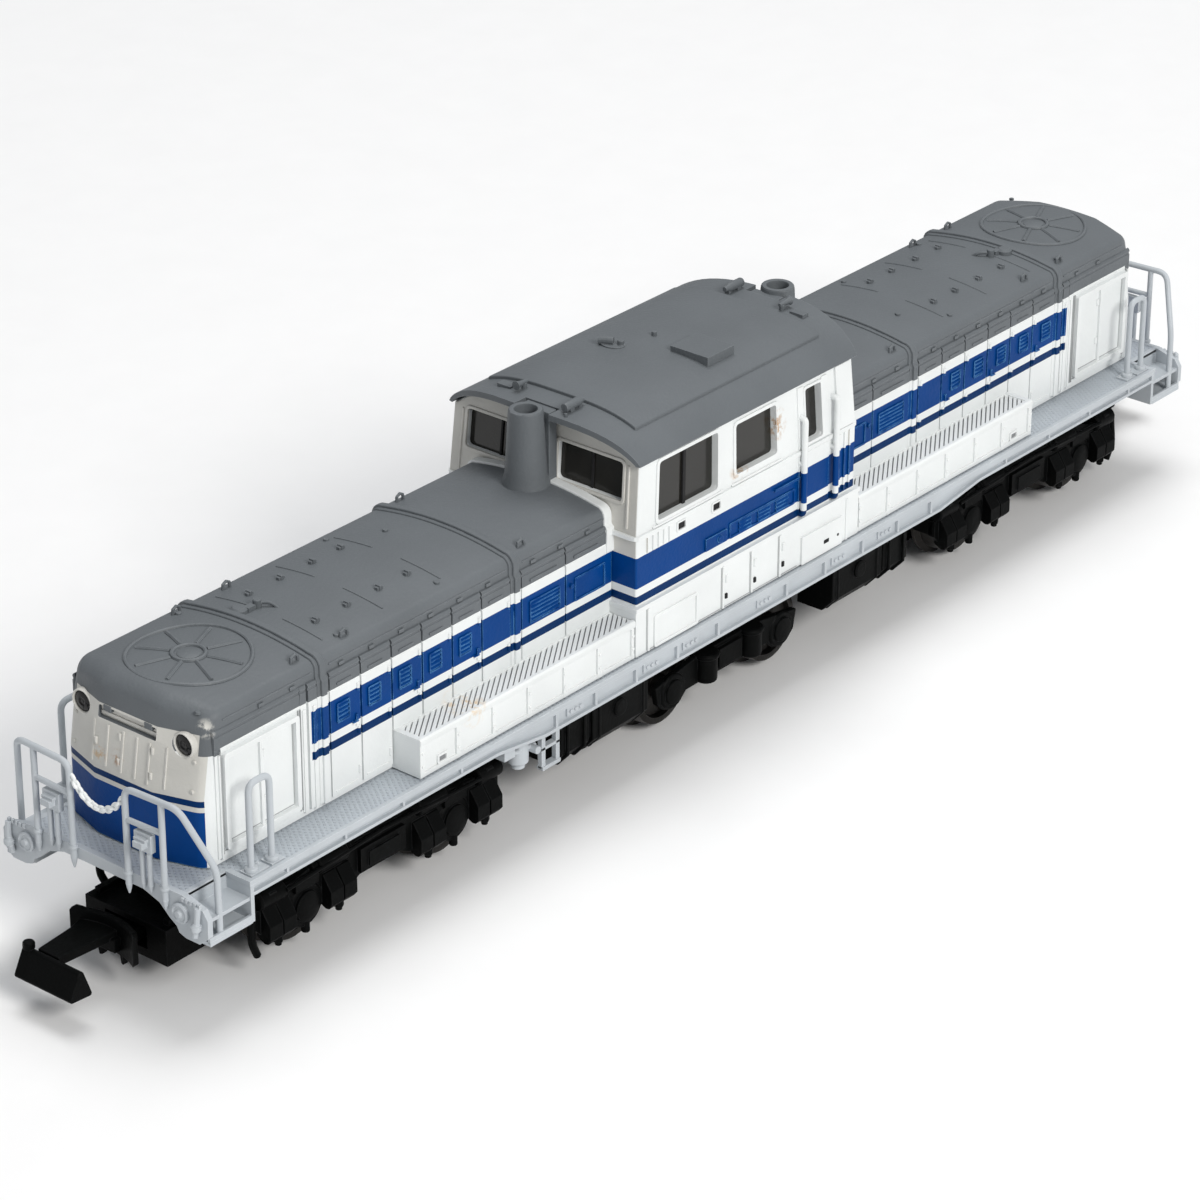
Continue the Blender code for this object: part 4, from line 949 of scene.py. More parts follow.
def cab_lower():
    """The cab's wider foot with its shelf, the moulding below the windows, ribs, latches and panels."""
    foot = Shape()
    foot.box((-12.9, -BOX_Y, BODY_Z), (12.9, BOX_Y, 12.95))
    foot.box((-12.95, -BOX_Y - 0.1, 12.9), (12.95, BOX_Y + 0.1, 13.24))
    ledge = rounded((-CAB_X - 0.2, -CAB_Y - 0.2), (CAB_X + 0.2, CAB_Y + 0.2), 0.6)
    foot.prism("Z", ledge, 18.3, 18.62)
    side = Shape()
    face = -BOX_Y
    for x in (-11.6, -3.2, 0.1, 3.4):
        side.plate((x - 0.09, x + 0.09), (9.55, 12.85), face, 0.13)
    frame_ring(side, "Y", (-10.8, 9.75), (-6.3, 11.85), 0.2, face - 0.16, face + 0.1, 0.2)
    side.plate((5.9, 10.7), (9.5, 11.7), face, 0.2)
    side.plate((11.3, 11.5), (9.5, 12.8), face, 0.1)
    for x in (-2.8, 0.5, 3.8):
        side.rod("Z", 0.15, 11.5, 12.1, (x, face - 0.03), 10)
    side.mirror((-1, -1))
    foot.add(side)
    piece(foot, "cab_foot", [WHITE], 0.06, 2)
    dark = Shape()
    for x in (-2.8, 0.5, 3.8):
        dark.box((x - 0.12, face - 0.12, 10.2), (x + 0.12, face + 0.05, 10.6))
    dark.box((8.5, face - 0.24, 10.25), (9.1, face + 0.05, 10.55))
    dark.box((10.1, face - 0.24, 10.3), (10.3, face + 0.05, 10.5))
    dark.mirror((-1, -1))
    piece(dark, "cab_foot_latches", [INNER_DARK], 0.03, 1)


def cab_side_details():
    """Window frames, door, louvres, pleats and pockets; one side is the other turned about."""
    parts = Shape()
    face = -CAB_Y
    for x0, x1, z0, z1 in SIDE_WINDOWS[:2]:
        frame_ring(parts, "Y", (x0, z0), (x1, z1), 0.26, face - 0.12, face + 0.1, 0.4)
    for x0, x1 in (SIDE_WINDOWS[0][:2], SIDE_WINDOWS[1][:2]):
        parts.plate((x0 - 0.5, x1 + 0.5), (18.68, 18.82), face, 0.14)
    parts.plate((5.75, 9.3), (13.5, 18.2), face, 0.1)
    parts.plate((5.75, 6.45), (18.7, 23.5), face, 0.1)
    parts.plate((8.65, 9.3), (18.7, 23.5), face, 0.1)
    frame_ring(parts, "Y", SIDE_WINDOWS[2][::2], SIDE_WINDOWS[2][1::2], 0.2, face - 0.16, face + 0.1, 0.3)
    parts.plate((10.3, 12.1), (18.7, 23.75), face, 0.2)
    for x in (10.6, 11.2, 11.8):
        parts.plate((x - 0.08, x + 0.08), (13.5, 18.2), face, 0.14)
    for x in (-11.4, -10.8, -10.2, -9.6, -9.0):
        parts.plate((x - 0.1, x + 0.1), (17.05, 18.3), face, 0.14)
    frame_ring(parts, "Y", (-2.1, 14.75), (5.2, 15.65), 0.16, face - 0.1, face + 0.1, 0.15)
    for x in (-1.2, 1.0, 3.1):
        for row in range(3):
            z = 14.8 + row * 0.29
            outline = [(face + 0.05, z), (face - 0.16, z), (face - 0.06, z + 0.22), (face + 0.05, z + 0.22)]
            parts.prism("X", outline, x, x + 1.4)
    parts.plate((-5.0, -2.6), (14.65, 15.6), face, 0.14)
    parts.rod("Y", 0.28, face - 0.28, face, (-3.4, 15.1), 16)
    parts.plate((2.9, 6.2), (16.42, 16.6), face, 0.2)
    for x in (-3.8, -7.7):
        frame_ring(parts, "Y", (x - 0.4, 17.5), (x + 0.4, 18.05), 0.13, face - 0.12, face + 0.1, 0.12)
    parts.mirror((-1, -1))
    parts.slice("Z", *SIDE_BAND_Z).move(taper)
    parts.paint(cab_paint)
    piece(parts, "cab_side_details", LIVERY, 0.05, 2)
    cab_handrails()
    ends = Shape()
    for end in (-1, 1):
        for y0, y1, z0, z1 in END_WINDOWS:
            near, far = sorted((end * (CAB_X - 0.1), end * (CAB_X + 0.12)))
            frame_ring(ends, "X", (y0, z0), (y1, z1), 0.24, near, far, 0.4)
        for y in (-7.7, 7.7):
            ends.box((end * (CAB_X - 0.1), y - 0.1, 19.0), (end * (CAB_X + 0.1), y + 0.1, 23.6))
    # The end window frames take the darker white that paints the end walls' shade.
    piece(ends.move(taper), "end_window_frames", [END_WHITE_SHADE], 0.06, 2)


def cab_handrails():
    """The door's two standing handrails, and near-black boxes in the wall's pockets that paint the shade
    inside them, on both sides.
    """
    rails = Shape()
    y = -CAB_Y - 0.42
    for x, low, high in ((5.95, 13.6, 21.15), (9.75, 13.6, 21.5)):
        rails.tube(bend([(x, y + 0.6, low), (x, y, low), (x, y, high), (x, y + 0.7, high)], 0.3), 0.23, 12)
        rails.rod("Y", 0.22, y, y + 0.6, (x, 17.6), 10)
    rails.mirror((-1, -1))
    rails.slice("Z", *SIDE_BAND_Z)
    rails.paint(cab_paint)
    piece(rails, "cab_handrails", LIVERY, 0)
    # Near-black boxes set in the pocket rims paint the pockets' shade.
    pockets = Shape()
    for x in (-3.8, -7.7):
        pockets.box((x - 0.4, -CAB_Y - 0.03, 17.5), (x + 0.4, -CAB_Y + 0.2, 18.05))
    pockets.mirror((-1, -1))
    piece(pockets, "cab_pocket_shade", [INNER_DARK], 0.02, 1)


def roof_end_trim(reach, bow):
    """The cab roof's plan with bowed ends, as a tall solid."""
    end = []
    for step in range(17):
        y = EAVE_Y * 1.05 * (1 - step / 8)
        end.append((reach + bow * (1 - (y / EAVE_Y) ** 2), y))
    plan = end + [(-x, -y) for x, y in end]
    return Shape().prism("Z", plan, 10, 40)


def window_glass():
    panes = Shape()
    bars = Shape()
    for side in (-1, 1):
        y = side * (CAB_Y - 0.55)
        for x0, x1, z0, z1 in SIDE_WINDOWS:
            panes.box((-side * (x0 - 0.2), y - 0.1, z0 - 0.2), (-side * (x1 + 0.2), y + 0.1, z1 + 0.2))
        centre = -side * sum(SIDE_WINDOWS[0][:2]) / 2
        bars.box((centre - 0.16, y - 0.1, 19.0), (centre + 0.16, y + side * 0.28, 23.5))
    for end in (-1, 1):
        x = end * (CAB_X - 0.5)
        for y0, y1, z0, z1 in END_WINDOWS:
            panes.box((x - 0.1, y0 - 0.2, z0 - 0.2), (x + 0.1, y1 + 0.2, z1 + 0.2))
            middle = (y0 + y1) / 2
            bars.box((x - 0.1, middle - 0.1, z0), (x + end * 0.22, middle + 0.1, z1))
    # The panes are opaque and near-black, painting the shade inside the cab.
    piece(panes.move(taper), "window_panes", [GLASS_SHADE], 0.03, 1, ["cab_glazing"])
    piece(bars.move(taper), "window_bars", [INNER_DARK], 0.03, 1)


def cab_roof():
    roof = Shape().prism("X", mirrored(roof_arch()), -20, 20)
    roof = common(roof, roof_end_trim(EAVE_X, ROOF_BOW))
    inner = [(EAVE_Y - 0.35, 0)] + roof_arch(-0.45, EAVE_Y - 0.35)
    slots = Shape()
    for end in (-1, 1):
        slots.box((end * (EAVE_X + 0.03), -1.55, 0), (end * 20, 1.55, 40))
    roof = cut(roof, Shape().prism("X", mirrored(inner), -21, 21), slots)
    piece(roof, "cab_roof_skin", [GREY], 0.12, 2, ["cab_roof"], 40)
    panel = [(PANEL_Y, EAVE_Z + 0.2)]
    for step in range(13):
        y = PANEL_Y * (1 - step / 12)
        panel.append((y, cab_roof_height(y) + PANEL_RISE))
    top = Shape().prism("X", mirrored(panel), -PANEL_X, PANEL_X)
    piece(top, "cab_roof_panel", [GREY], 0.1, 2, limit=24)
    roof_end_fittings()
    centre = Shape()
    centre.box((-0.2, -4.9, 25.6), (2.8, -1.5, 26.85))
    turns = [math.tau * k / 24 for k in range(24)]
    oval = [(-1.9 + 0.75 * math.cos(turn), 2.4 + 1.0 * math.sin(turn)) for turn in turns]
    centre.prism("Z", oval, 26.0, 26.52)
    centre.tube([(-2.4, 3.3, 26.65), (-2.2, 2.9, 26.72), (-1.9, 2.3, 26.72)], 0.3, 12)
    centre.rod("Z", 0.25, 26.3, 26.85, (-1.7, 1.8), 12)
    centre.rod("Z", 0.2, 26.2, 26.75, (1.2, 1.1), 12)
    piece(centre, "cab_roof_hatch", [GREY], 0.08, 2)


def roof_end_fittings():
    """A horn with its plate, and a lying tube with its foot, beyond each end of the raised panel."""
    horns = Shape()
    z = cab_roof_height(2.4)
    horns.rod("Z", 0.2, z - 0.2, z + 0.4, (-11.2, 2.7), 12)
    horns.lathe("X", [(-10.9, 0.14), (-11.3, 0.17), (-11.9, 0.24), (-12.1, 0.36)], (2.7, z + 0.45), 16)
    horns.box((-11.9, 3.4, z - 0.3), (-11.2, 4.6, z + 0.08))
    tube = [(-12.7, 0.3), (-12.6, 0.34), (-11.2, 0.34), (-10.9, 0.22), (-10.7, 0.2)]
    horns.lathe("X", tube, (-2.2, z + 0.4), 16)
    horns.box((-12.3, -2.5, z - 0.3), (-11.9, -1.9, z + 0.3))
    horns.box((-11.3, -2.4, z - 0.3), (-11.0, -2.0, z + 0.3))
    horns.rod("Z", 0.14, z - 0.3, z + 0.22, (-13.0, -2.6), 10)
    horns.mirror((-1, -1))
    piece(horns, "cab_roof_horns", [GREY], 0.04, 1)


def stacks():
    """An exhaust stack at each end of the cab, joined to its wall."""
    for end, word in ((-1, "front"), (1, "rear")):
        stack = Shape()
        x = end * STACK_X
        body = [(19.9, 1.95), (20.9, 1.72), (21.6, 1.5), (24.0, 1.36), (26.1, 1.26), (26.38, 1.22)]
        hole = [(STACK_TOP_Z, 1.12), (STACK_TOP_Z, 0.84), (26.2, 0.78), (24.6, 0.76)]
        stack.lathe("Z", body + hole, (x, 0), 40)
        stack.box((end * (CAB_X - 0.2), -1.3, 20.4), (end * (STACK_X - 0.95), 1.3, 26.1))
        piece(stack, word + "_stack", [GREY], 0.1, 2, [word + "_exhaust_stack"], 35)


# ---------------------------------------------------------------- running board

def deck():
    """The running board: tread plates within raised rims, and small plates at its corners."""
    board = Shape()
    length, edge = DECK_X - 0.07, DECK_Y - 0.07
    for side in (-1, 1):
        board.box((-length, side * 5.5, DECK_TOP - 0.55), (length, side * edge, DECK_TOP - 0.04))
    half = PLATFORM_Y - 0.07
    for end in (-1, 1):
        board.box((end * 50.8, -half, DECK_TOP - 0.5), (end * (PLATFORM_X - 0.12), half, DECK_TOP - 0.05))
    board.paint(lambda centre, normal: 1 if normal.z > 0.9 else 0)
    piece(board, "deck", [FRAME_GREY, TREAD], 0.03, 1, ["running_board"])
    rims = Shape()
    low = DECK_TOP - 0.3
    top = DECK_TOP + 0.03
    rims.box((-DECK_X, DECK_Y - 0.3, low), (DECK_X, DECK_Y, top))
    rims.mirror((1, -1))
    for side in (-1, 1):
        for end in (-1, 1):
            corner = (end * (DECK_X - 0.45), side * (PLATFORM_Y + 0.02), low)
            rims.box(corner, (end * (DECK_X - 0.02), side * (DECK_Y - 0.2), top - 0.02))
            corner = (end * (DECK_X - 0.2), side * (PLATFORM_Y - 0.35), low)
            rims.box(corner, (end * (PLATFORM_X - 0.03), side * PLATFORM_Y, top - 0.04))
    plates = Shape()
    plates.box((49.95, 7.9, DECK_TOP - 0.1), (51.6, 8.95, DECK_TOP + 0.12))
    plates.box((48.5, 7.9, DECK_TOP - 0.1), (49.7, 8.95, DECK_TOP + 0.12))
    for x, y in ((50.2, 8.1), (51.4, 8.1), (48.7, 8.1)):
        plates.rod("Z", 0.12, DECK_TOP, DECK_TOP + 0.2, (x, y), 8)
    rims.add(plates.all_corners())
    piece(rims, "deck_rims", [FRAME_GREY], 0.05, 2)


def sills():
    """Channel sills: a web set back behind a lower flange, with ribs, small plates and bolt heads."""
    sill = Shape()
    edge = [(DECK_X - 0.1, SILL_END_Z), (SILL_END_X, SILL_END_Z), (SILL_MID_X, SILL_MID_Z)]
    web = mirrored([(DECK_X - 0.1, DECK_TOP - 0.34), *edge])
    sill.prism("Y", web, DECK_Y - 0.62, DECK_Y - 0.36)
    line = mirrored(edge)
    flange = line + [(x, z + 0.24) for x, z in reversed(line)]
    sill.prism("Y", flange, DECK_Y - 0.5, DECK_Y - 0.04)
    for x in (4.0, 8.6, 13.2, 17.6, 21.8):
        for sign in (-1, 1):
            sill.box((sign * x - 0.12, DECK_Y - 0.45, 7.75), (sign * x + 0.12, DECK_Y - 0.08, 9.08))
    for x in (-48.5, -43.0, -37.4, -31.6, 31.6, 37.4, 43.0, 48.5):
        sill.box((x - 0.1, DECK_Y - 0.45, 8.4), (x + 0.1, DECK_Y - 0.1, 9.08))
    for x in (-16.9, -11.2, -2.3, 6.2, 10.6, 18.9):
        sill.box((x, DECK_Y - 0.45, 8.1), (x + 1.7, DECK_Y - 0.2, 8.8))
        for knob in range(3):
            sill.rod("Y", 0.16, DECK_Y - 0.3, DECK_Y - 0.06, (x + 0.35 + knob * 0.5, 8.45), 10)
    sill.mirror((-1, -1))
    piece(sill, "sills", [FRAME_GREY], 0.05, 2)


def end_beam_outline():
    side = [
        (0.0, 8.55), (3.6, 8.55), (5.0, 8.1), (5.9, 7.3), (6.5, 6.9), (6.7, STEP_Z + 0.2), (7.3, STEP_Z),
        (8.5, STEP_Z), (DECK_Y, STEP_Z + 0.7), (DECK_Y, DECK_TOP - 1.1), (8.9, DECK_TOP - 0.5),
        (PLATFORM_Y, DECK_TOP), (0.0, DECK_TOP),
    ]
    return mirrored(side)


def end_beams():
    """End beams with their open corner steps, bosses, pipes and cocks."""
    beam = Shape()
    beam.prism("X", end_beam_outline(), PLATFORM_X - 0.45, PLATFORM_X)
    for side in (-1, 1):
        y0, y1 = side * 7.0, side * (DECK_Y - 0.02)
        beam.box((51.95, y0, STEP_Z + 0.01), (PLATFORM_X - 0.2, y1, STEP_Z + 0.3))
        beam.box((51.95, y0, 7.95), (PLATFORM_X - 0.2, y1 - side * 0.15, 8.2))
        beam.box((51.7, y0, STEP_Z + 0.05), (52.02, y1 - side * 0.03, DECK_TOP - 0.32))
        beam.box((51.9, y0 - side * 0.3, STEP_Z + 0.1), (PLATFORM_X - 0.3, y0 + side * 0.1, DECK_TOP - 0.1))
        beam.box((52.0, y1 - side * 0.25, STEP_Z + 0.2), (PLATFORM_X - 0.2, y1 - side * 0.02, STEP_Z + 0.62))
        beam.rod("Z", 0.2, STEP_Z, DECK_TOP - 0.2, (54.6, y1 - side * 0.3), 10)
        boss = [(55.9, 0.72), (56.22, 0.72), (56.3, 0.6), (56.22, 0.48)]
        boss += [(56.26, 0.3), (56.42, 0.22), (56.44, 0.02)]
        beam.lathe("X", boss, (side * 7.0, 8.1), 24)
        pipe = [(56.15, side * 8.6, 9.1), (56.25, side * 8.6, 8.2), (56.2, side * 8.3, 6.9)]
        beam.tube(bend(pipe, 0.4), 0.22, 10)
        beam.lathe("Z", [(7.3, 0.16), (7.5, 0.36), (7.8, 0.38), (8.0, 0.16)], (56.28, side * 8.5), 14)
        for tooth in range(5):
            y = side * (7.2 + 0.36 * tooth)
            beam.box((PLATFORM_X - 0.1, y - 0.1, 9.0), (PLATFORM_X + 0.14, y + 0.1, 9.3))
    beam.mirror((-1, 1))
    piece(beam, "end_beams", [FRAME_GREY], 0.06, 2)


def bend(points, radius=0.6, steps=4):
    """Rounds the corners of a line of points."""
    line = [Vector(p) for p in points]
    made = [line[0]]
    for before, corner, after in zip(line, line[1:], line[2:]):
        reach = min(radius, (corner - before).length * 0.45, (after - corner).length * 0.45)
        start = corner + (before - corner).normalized() * reach
        stop = corner + (after - corner).normalized() * reach
        for step in range(steps + 1):
            t = step / steps
            made.append(start.lerp(corner, t).lerp(corner.lerp(stop, t), t))
    made.append(line[-1])
    return made


def railings():
    """End railings each side of the gangway, with pointed feet, and the handrails at the deck's corners."""
    rails = Shape()
    x = RAIL_X
    inner, outer = POSTS_Y
    top = [(x, inner, 8.6), (x, inner, RAIL_Z), (x, 7.25, RAIL_Z + 0.15)]
    rails.tube(bend(top + [(54.65, 8.95, 11.3), (54.65, 8.95, 6.9)], 0.8, 6), 0.23, 14)
    rails.tube([(x, outer, 8.6), (x, outer, 12.0), (x, outer, RAIL_Z + 0.1)], 0.22, 14)
    for y in POSTS_Y:
        rails.lathe("Z", [(7.9, 0.06), (8.3, 0.17), (8.65, 0.23)], (x, y), 14)
        rails.rod("Z", 0.33, 9.3, 9.6, (x, y), 14)
    rails.tube([(x, inner, 13.35), (x, (inner + outer) / 2, 13.4), (x, outer, 13.45)], 0.2, 12)
    rails.box((x - 0.2, 3.4, 11.7), (x + 0.25, 4.9, 13.0))
    rails.box((x + 0.1, 3.75, 12.1), (x + 0.75, 4.6, 12.55))
    rails.box((x + 0.1, 3.65, 12.55), (x + 0.55, 4.7, 12.75))
    for y in (3.85, 4.5):
        rails.tube([(x, y, 9.2), (x, y, 10.5), (x, y, 11.9)], 0.19, 10)
        rails.lathe("Z", [(8.7, 0.05), (9.0, 0.14), (9.25, 0.19)], (x, y), 10)
    handle = [(51.1, 8.45, 9.3), (51.1, 8.45, 15.8), (49.2, 8.45, 15.8), (49.2, 8.45, 9.3)]
    rails.tube(bend(handle, 0.7, 6), 0.23, 14)
    for foot in (51.1, 49.2):
        rails.rod("Z", 0.45, 9.3, 9.8, (foot, 8.45), 16)
    rails.all_corners()
    piece(rails, "railings", [FRAME_GREY], 0.02, 1, limit=60)
    gangway_chains()


def gangway_chains():
    """A thick moulded chain hanging between the two railings at each end."""
    chain = Shape()
    for end in (-1, 1):
        for link in range(CHAIN_LINKS):
            t = (link + 0.5) / CHAIN_LINKS
            y = -CHAIN_Y + 2 * CHAIN_Y * t
            z = CHAIN_Z - CHAIN_SAG * (1 - (2 * t - 1) ** 2)
            slope = math.atan2(-CHAIN_SAG * 4 * (1 - 2 * t), 2 * CHAIN_Y)
            ring = []
            for k in range(14):
                angle = math.tau * k / 14
                along, across = 0.27 * math.cos(angle), 0.15 * math.sin(angle)
                out = across if link % 2 else 0.0
                rise = 0.0 if link % 2 else across
                ring.append((
                    end * (RAIL_X + out),
                    y + along * math.cos(slope) - rise * math.sin(slope),
                    z + along * math.sin(slope) + rise * math.cos(slope),
                ))
            chain.tube(ring, 0.13, 8, closed=True)
    piece(chain, "gangway_chains", [WHITE], 0)


# ---------------------------------------------------------------- underframe

def tanks():
    """Tanks with chamfered edges, a seam and filler caps, one at each side and end."""
    tank = Shape()
    x0, x1 = TANK_X
    outline = [(5.0, 3.3), (7.3, 3.3), (8.3, 4.4), (8.3, 7.5), (5.0, 7.5)]
    for inset, low, high in ((0.0, x0, 16.9), (0.1, 17.15, x1), (0.25, 16.8, 17.3)):
        shrunk = [(y - inset if y > 6 else y, z + inset if z < 5 else z) for y, z in outline]
        tank.prism("X", shrunk, low, high)
    for x in (11.4, 16.2, 17.8, 19.6):
        tank.prism("X", [(y + 0.1 if y > 6 else y, z) for y, z in outline], x - 0.13, x + 0.13)
    tank.rod("Y", 0.7, 8.0, 8.55, (14.0, 5.9), 18)
    tank.all_corners()
    tank.box((-20.0, -5.5, 6.9), (20.0, 5.5, 7.5))
    piece(tank, "tanks", [BLACK], 0.12, 2, ["underframe_tanks"])
    hangers = Shape()
    for x in (20.7, 22.2):
        hangers.box((x, 8.1, 4.6), (x + 0.4, 8.5, 8.0))
    hangers.box((20.7, 8.0, 4.5), (22.6, 8.6, 4.8))
    hangers.box((20.7, 8.0, 6.0), (22.6, 8.5, 6.25))
    hangers.rod("Z", 0.75, 5.6, 7.6, (24.2, 7.7), 18)
    hangers.rod("Z", 0.5, 5.2, 5.8, (24.2, 7.7), 14)
    hangers.rod("Y", 0.3, 7.6, 8.9, (23.4, 6.6), 12)
    hangers.tube(bend([(26.6, 8.2, 8.4), (25.4, 8.2, 6.9), (23.0, 8.2, 6.7)], 0.5), 0.18, 8)
    hangers.box((25.5, 7.6, 6.9), (26.6, 8.6, 8.3))
    hangers.mirror((-1, -1))
    piece(hangers, "underframe_fittings", [FRAME_GREY], 0.06, 2)


# ---------------------------------------------------------------- bogies

def side_frame_outline():
    half = POWER_BASE / 2
    side = [
        (0.0, 3.4), (2.0, 3.4), (2.8, 2.95), (half - 1.7, 2.95), (half - 1.0, 2.2), (half + 1.0, 2.2),
        (half + 1.7, 2.95), (11.3, 2.95), (12.0, 3.7), (12.0, 5.0), (half + 1.5, 5.7), (3.4, 6.5),
        (0.0, 6.5),
    ]
    return mirrored(side)


def spring_cover(shape, x):
    """A faceted spring cover with a sloping roof, a slit down its front and a nut below."""
    outline = [(6.6, 2.9), (7.3, 2.55), (7.6, 2.6), (7.88, 2.95), (7.88, 3.95), (7.15, 5.05), (6.6, 5.15)]
    for low, high in ((x - 1.25, x - 0.07), (x + 0.07, x + 1.25)):
        shape.prism("X", outline, low, high)
    shape.prism("X", [(y - 0.15, z) for y, z in outline], x - 0.1, x + 0.1)
    shape.rod("Z", 0.38, 2.2, 2.75, (x, 7.3), 6)
    shape.rod("Z", 0.24, 1.95, 2.3, (x, 7.3), 12)


def bogie_side():
    """One power bogie's side frame on its +Y side, about the bogie's centre."""
    side = Shape()
    half = POWER_BASE / 2
    side.prism("Y", side_frame_outline(), 6.38, 7.0)
    for x in (half - 2.9, half + 2.9):
        spring_cover(side, x)
        spring_cover(side, -x)
    for axle in (-half, half):
        side.rod("Y", 1.65, 6.6, 7.15, (axle, AXLE_Z + 0.05), 28)
        side.lathe("Y", [(6.9, 1.15), (7.35, 1.12), (7.5, 0.8), (7.52, 0.2)], (axle, AXLE_Z + 0.05), 24)
        side.rod("Z", 0.3, 1.5, 2.4, (axle, 7.0), 12)
        side.box((axle - 1.1, 6.7, 4.9), (axle + 1.1, 7.3, 5.6))
        side.box((axle - 2.2, 6.8, 5.5), (axle + 2.2, 7.1, 5.8))
    side.box((-2.2, 6.7, 3.7), (2.2, 7.35, 5.5))
    side.box((-1.5, 7.2, 4.0), (1.5, 7.5, 5.1))
    side.box((-3.0, 6.6, 5.6), (3.0, 7.15, 6.1))
    for x in (-4.9, 4.9):
        side.rod("X", 0.62, x - 1.4, x + 1.4, (7.0, 6.0), 18)
        side.rod("X", 0.4, x - 1.9, x + 1.9, (7.0, 6.0), 14)
    for x in (-10.7, 10.7):
        side.rod("X", 0.7, x - 1.1, x + 1.3, (6.9, 5.7), 18)
        side.box((x - 0.3, 6.5, 5.4), (x + 0.3, 7.5, 6.2))
    side.tube(bend([(-12.2, 6.9, 5.2), (-12.4, 7.0, 3.0), (-11.8, 6.9, 1.7)], 0.6), 0.28, 10)
    side.tube([(-9.6, 7.6, 5.9), (0.0, 7.45, 6.25), (9.6, 7.6, 5.9)], 0.16, 8)
    return side


def at_bogie(shape, end):
    """A shape made about a bogie's centre, set in its place at one end of the model."""
    turn = Matrix.Translation((end * BOGIE_X * MM, 0, 0))
    if end > 0:
        turn = turn @ Matrix.Rotation(math.pi, 4, "Z")
    return Shape().add(shape, turn)


def power_bogie_frame(prefix, end):
    """A power bogie's two side frames, its ends, and the pocket that holds the coupler."""
    half = bogie_side().mirror((1, -1))
    for sign in (-1, 1):
        half.box((sign * 11.2, -6.8, 3.75), (sign * 12.0, 6.8, 4.95))
    pocket = Shape().box((-16.8, -3.7, 1.9), (-11.5, 3.7, 4.6))
    room = Shape().box((-16.0, -2.7, 2.55), (-11.9, 2.7, 4.2))
    room.box((-17.8, -1.9, 2.55), (-15.8, 1.9, 4.2))
    half.add(cut(pocket, room))
    for y in (-3.4, 2.9):
        half.box((-16.2, y, 4.5), (-12.4, y + 0.5, 5.0))
    half.box((-12.6, -5.2, 4.3), (-11.9, 5.2, 5.9))
    half.box((-14.6, -1.2, 4.5), (-12.2, 1.2, 5.3))
    replaced = [prefix + "_bogie_frame"]
    piece(at_bogie(half, end), prefix + "_bogie_sides", [BLACK], 0.07, 2, replaced, body=prefix + "_bogie")


def coupler(prefix, end):
    """A hook coupler: shank, curved guard plate with its tab, a web to one side and a wedge-shaped nose."""
    head = Shape()
    pin = -13.6
    shank = [
        (0.5, -0.8), (0.5, 0.8), (-0.4, 2.2), (-1.0, 2.2), (-1.2, 1.0),
        (-5.2, 0.95), (-5.2, -0.95), (-1.2, -1.0), (-1.0, -2.2), (-0.4, -2.2),
    ]
    head.prism("Z", [(x + pin, y) for x, y in shank], 2.75, 3.75)
    guard = [(pin - 4.95 + 0.9 * (1 - (y / 2.9) ** 2), y) for y in [-2.9 + 5.8 * k / 12 for k in range(13)]]
    guard += [(x - 0.5, y) for x, y in reversed(guard)]
    face = [
        (0.0, 2.35), (0.75, 2.3), (0.85, 1.75), (1.1, 1.7), (1.2, 2.35), (2.6, 2.4),
        (2.9, 2.7), (2.9, 4.75), (2.75, 5.0), (2.1, 4.85), (0.0, 4.8),
    ]
    head.add(common(Shape().prism("Z", guard, 1, 6), Shape().prism("X", mirrored(face), pin - 7, pin - 2)))
    web = [(-4.4, -0.6), (-4.4, 2.5), (-6.2, 2.0), (-9.4, 1.7), (-9.4, -0.2), (-6.0, -0.5)]
    head.prism("Z", [(pin + x, y) for x, y in web], 3.5, 4.15)
    tip = -24.4
    nose = [(0.0, 2.45), (0.12, 2.25), (1.85, 2.1), (1.95, 2.3), (1.3, 4.1), (1.05, 4.2), (0.85, 4.1)]
    head.prism("Y", [(tip + x, z) for x, z in nose], -2.6, 2.6)
    head.lathe("Z", [(4.1, 0.42), (4.55, 0.42), (4.66, 0.3)], (tip + 1.1, 2.2), 16)
    name, replaced, body = prefix + "_hook_coupler", [prefix + "_coupler"], prefix + "_coupler_head"
    piece(at_bogie(head, end), name, [BLACK], 0.09, 2, replaced, body=body)


def centre_bogie_frame():
    """The carrying bogie's side frames, the bar between them and its collar."""
    half = CENTRE_BASE / 2
    side = [(0, 2.9), (half - 1.6, 2.9), (half - 0.9, 2.25), (half + 0.9, 2.25), (half + 1.6, 2.9)]
    side += [(half + 1.9, 4.4), (3.0, 5.2), (0, 5.2)]
    bogie = Shape().prism("Y", mirrored(side), 6.38, 6.9)
    for axle in (-half, half):
        bogie.rod("Y", 1.4, 6.6, 7.05, (axle, AXLE_Z), 26)
        bogie.lathe("Y", [(6.9, 1.0), (7.2, 0.95), (7.3, 0.5)], (axle, AXLE_Z), 22)
    for x in (-2.6, 2.6):
        bogie.rod("Z", 0.85, 2.9, 5.0, (x, 7.0), 18)
        bogie.rod("Z", 1.0, 4.8, 5.3, (x, 7.0), 18)
    bogie.box((-1.3, 6.7, 3.3), (1.3, 7.25, 4.9))
    bogie.mirror((1, -1))
    bogie.box((-2.2, -6.7, 4.0), (2.2, 6.7, 5.1))
    collar = [(4.6, 1.9), (6.6, 1.9), (6.6, 1.05), (5.45, 1.05), (5.45, 0.1), (4.6, 0.1)]
    bogie.lathe("Z", collar, (0, 0), 32)
    piece(bogie, "centre_bogie_sides", [BLACK], 0.07, 2, ["centre_bogie_frame"], body="centre_bogie")


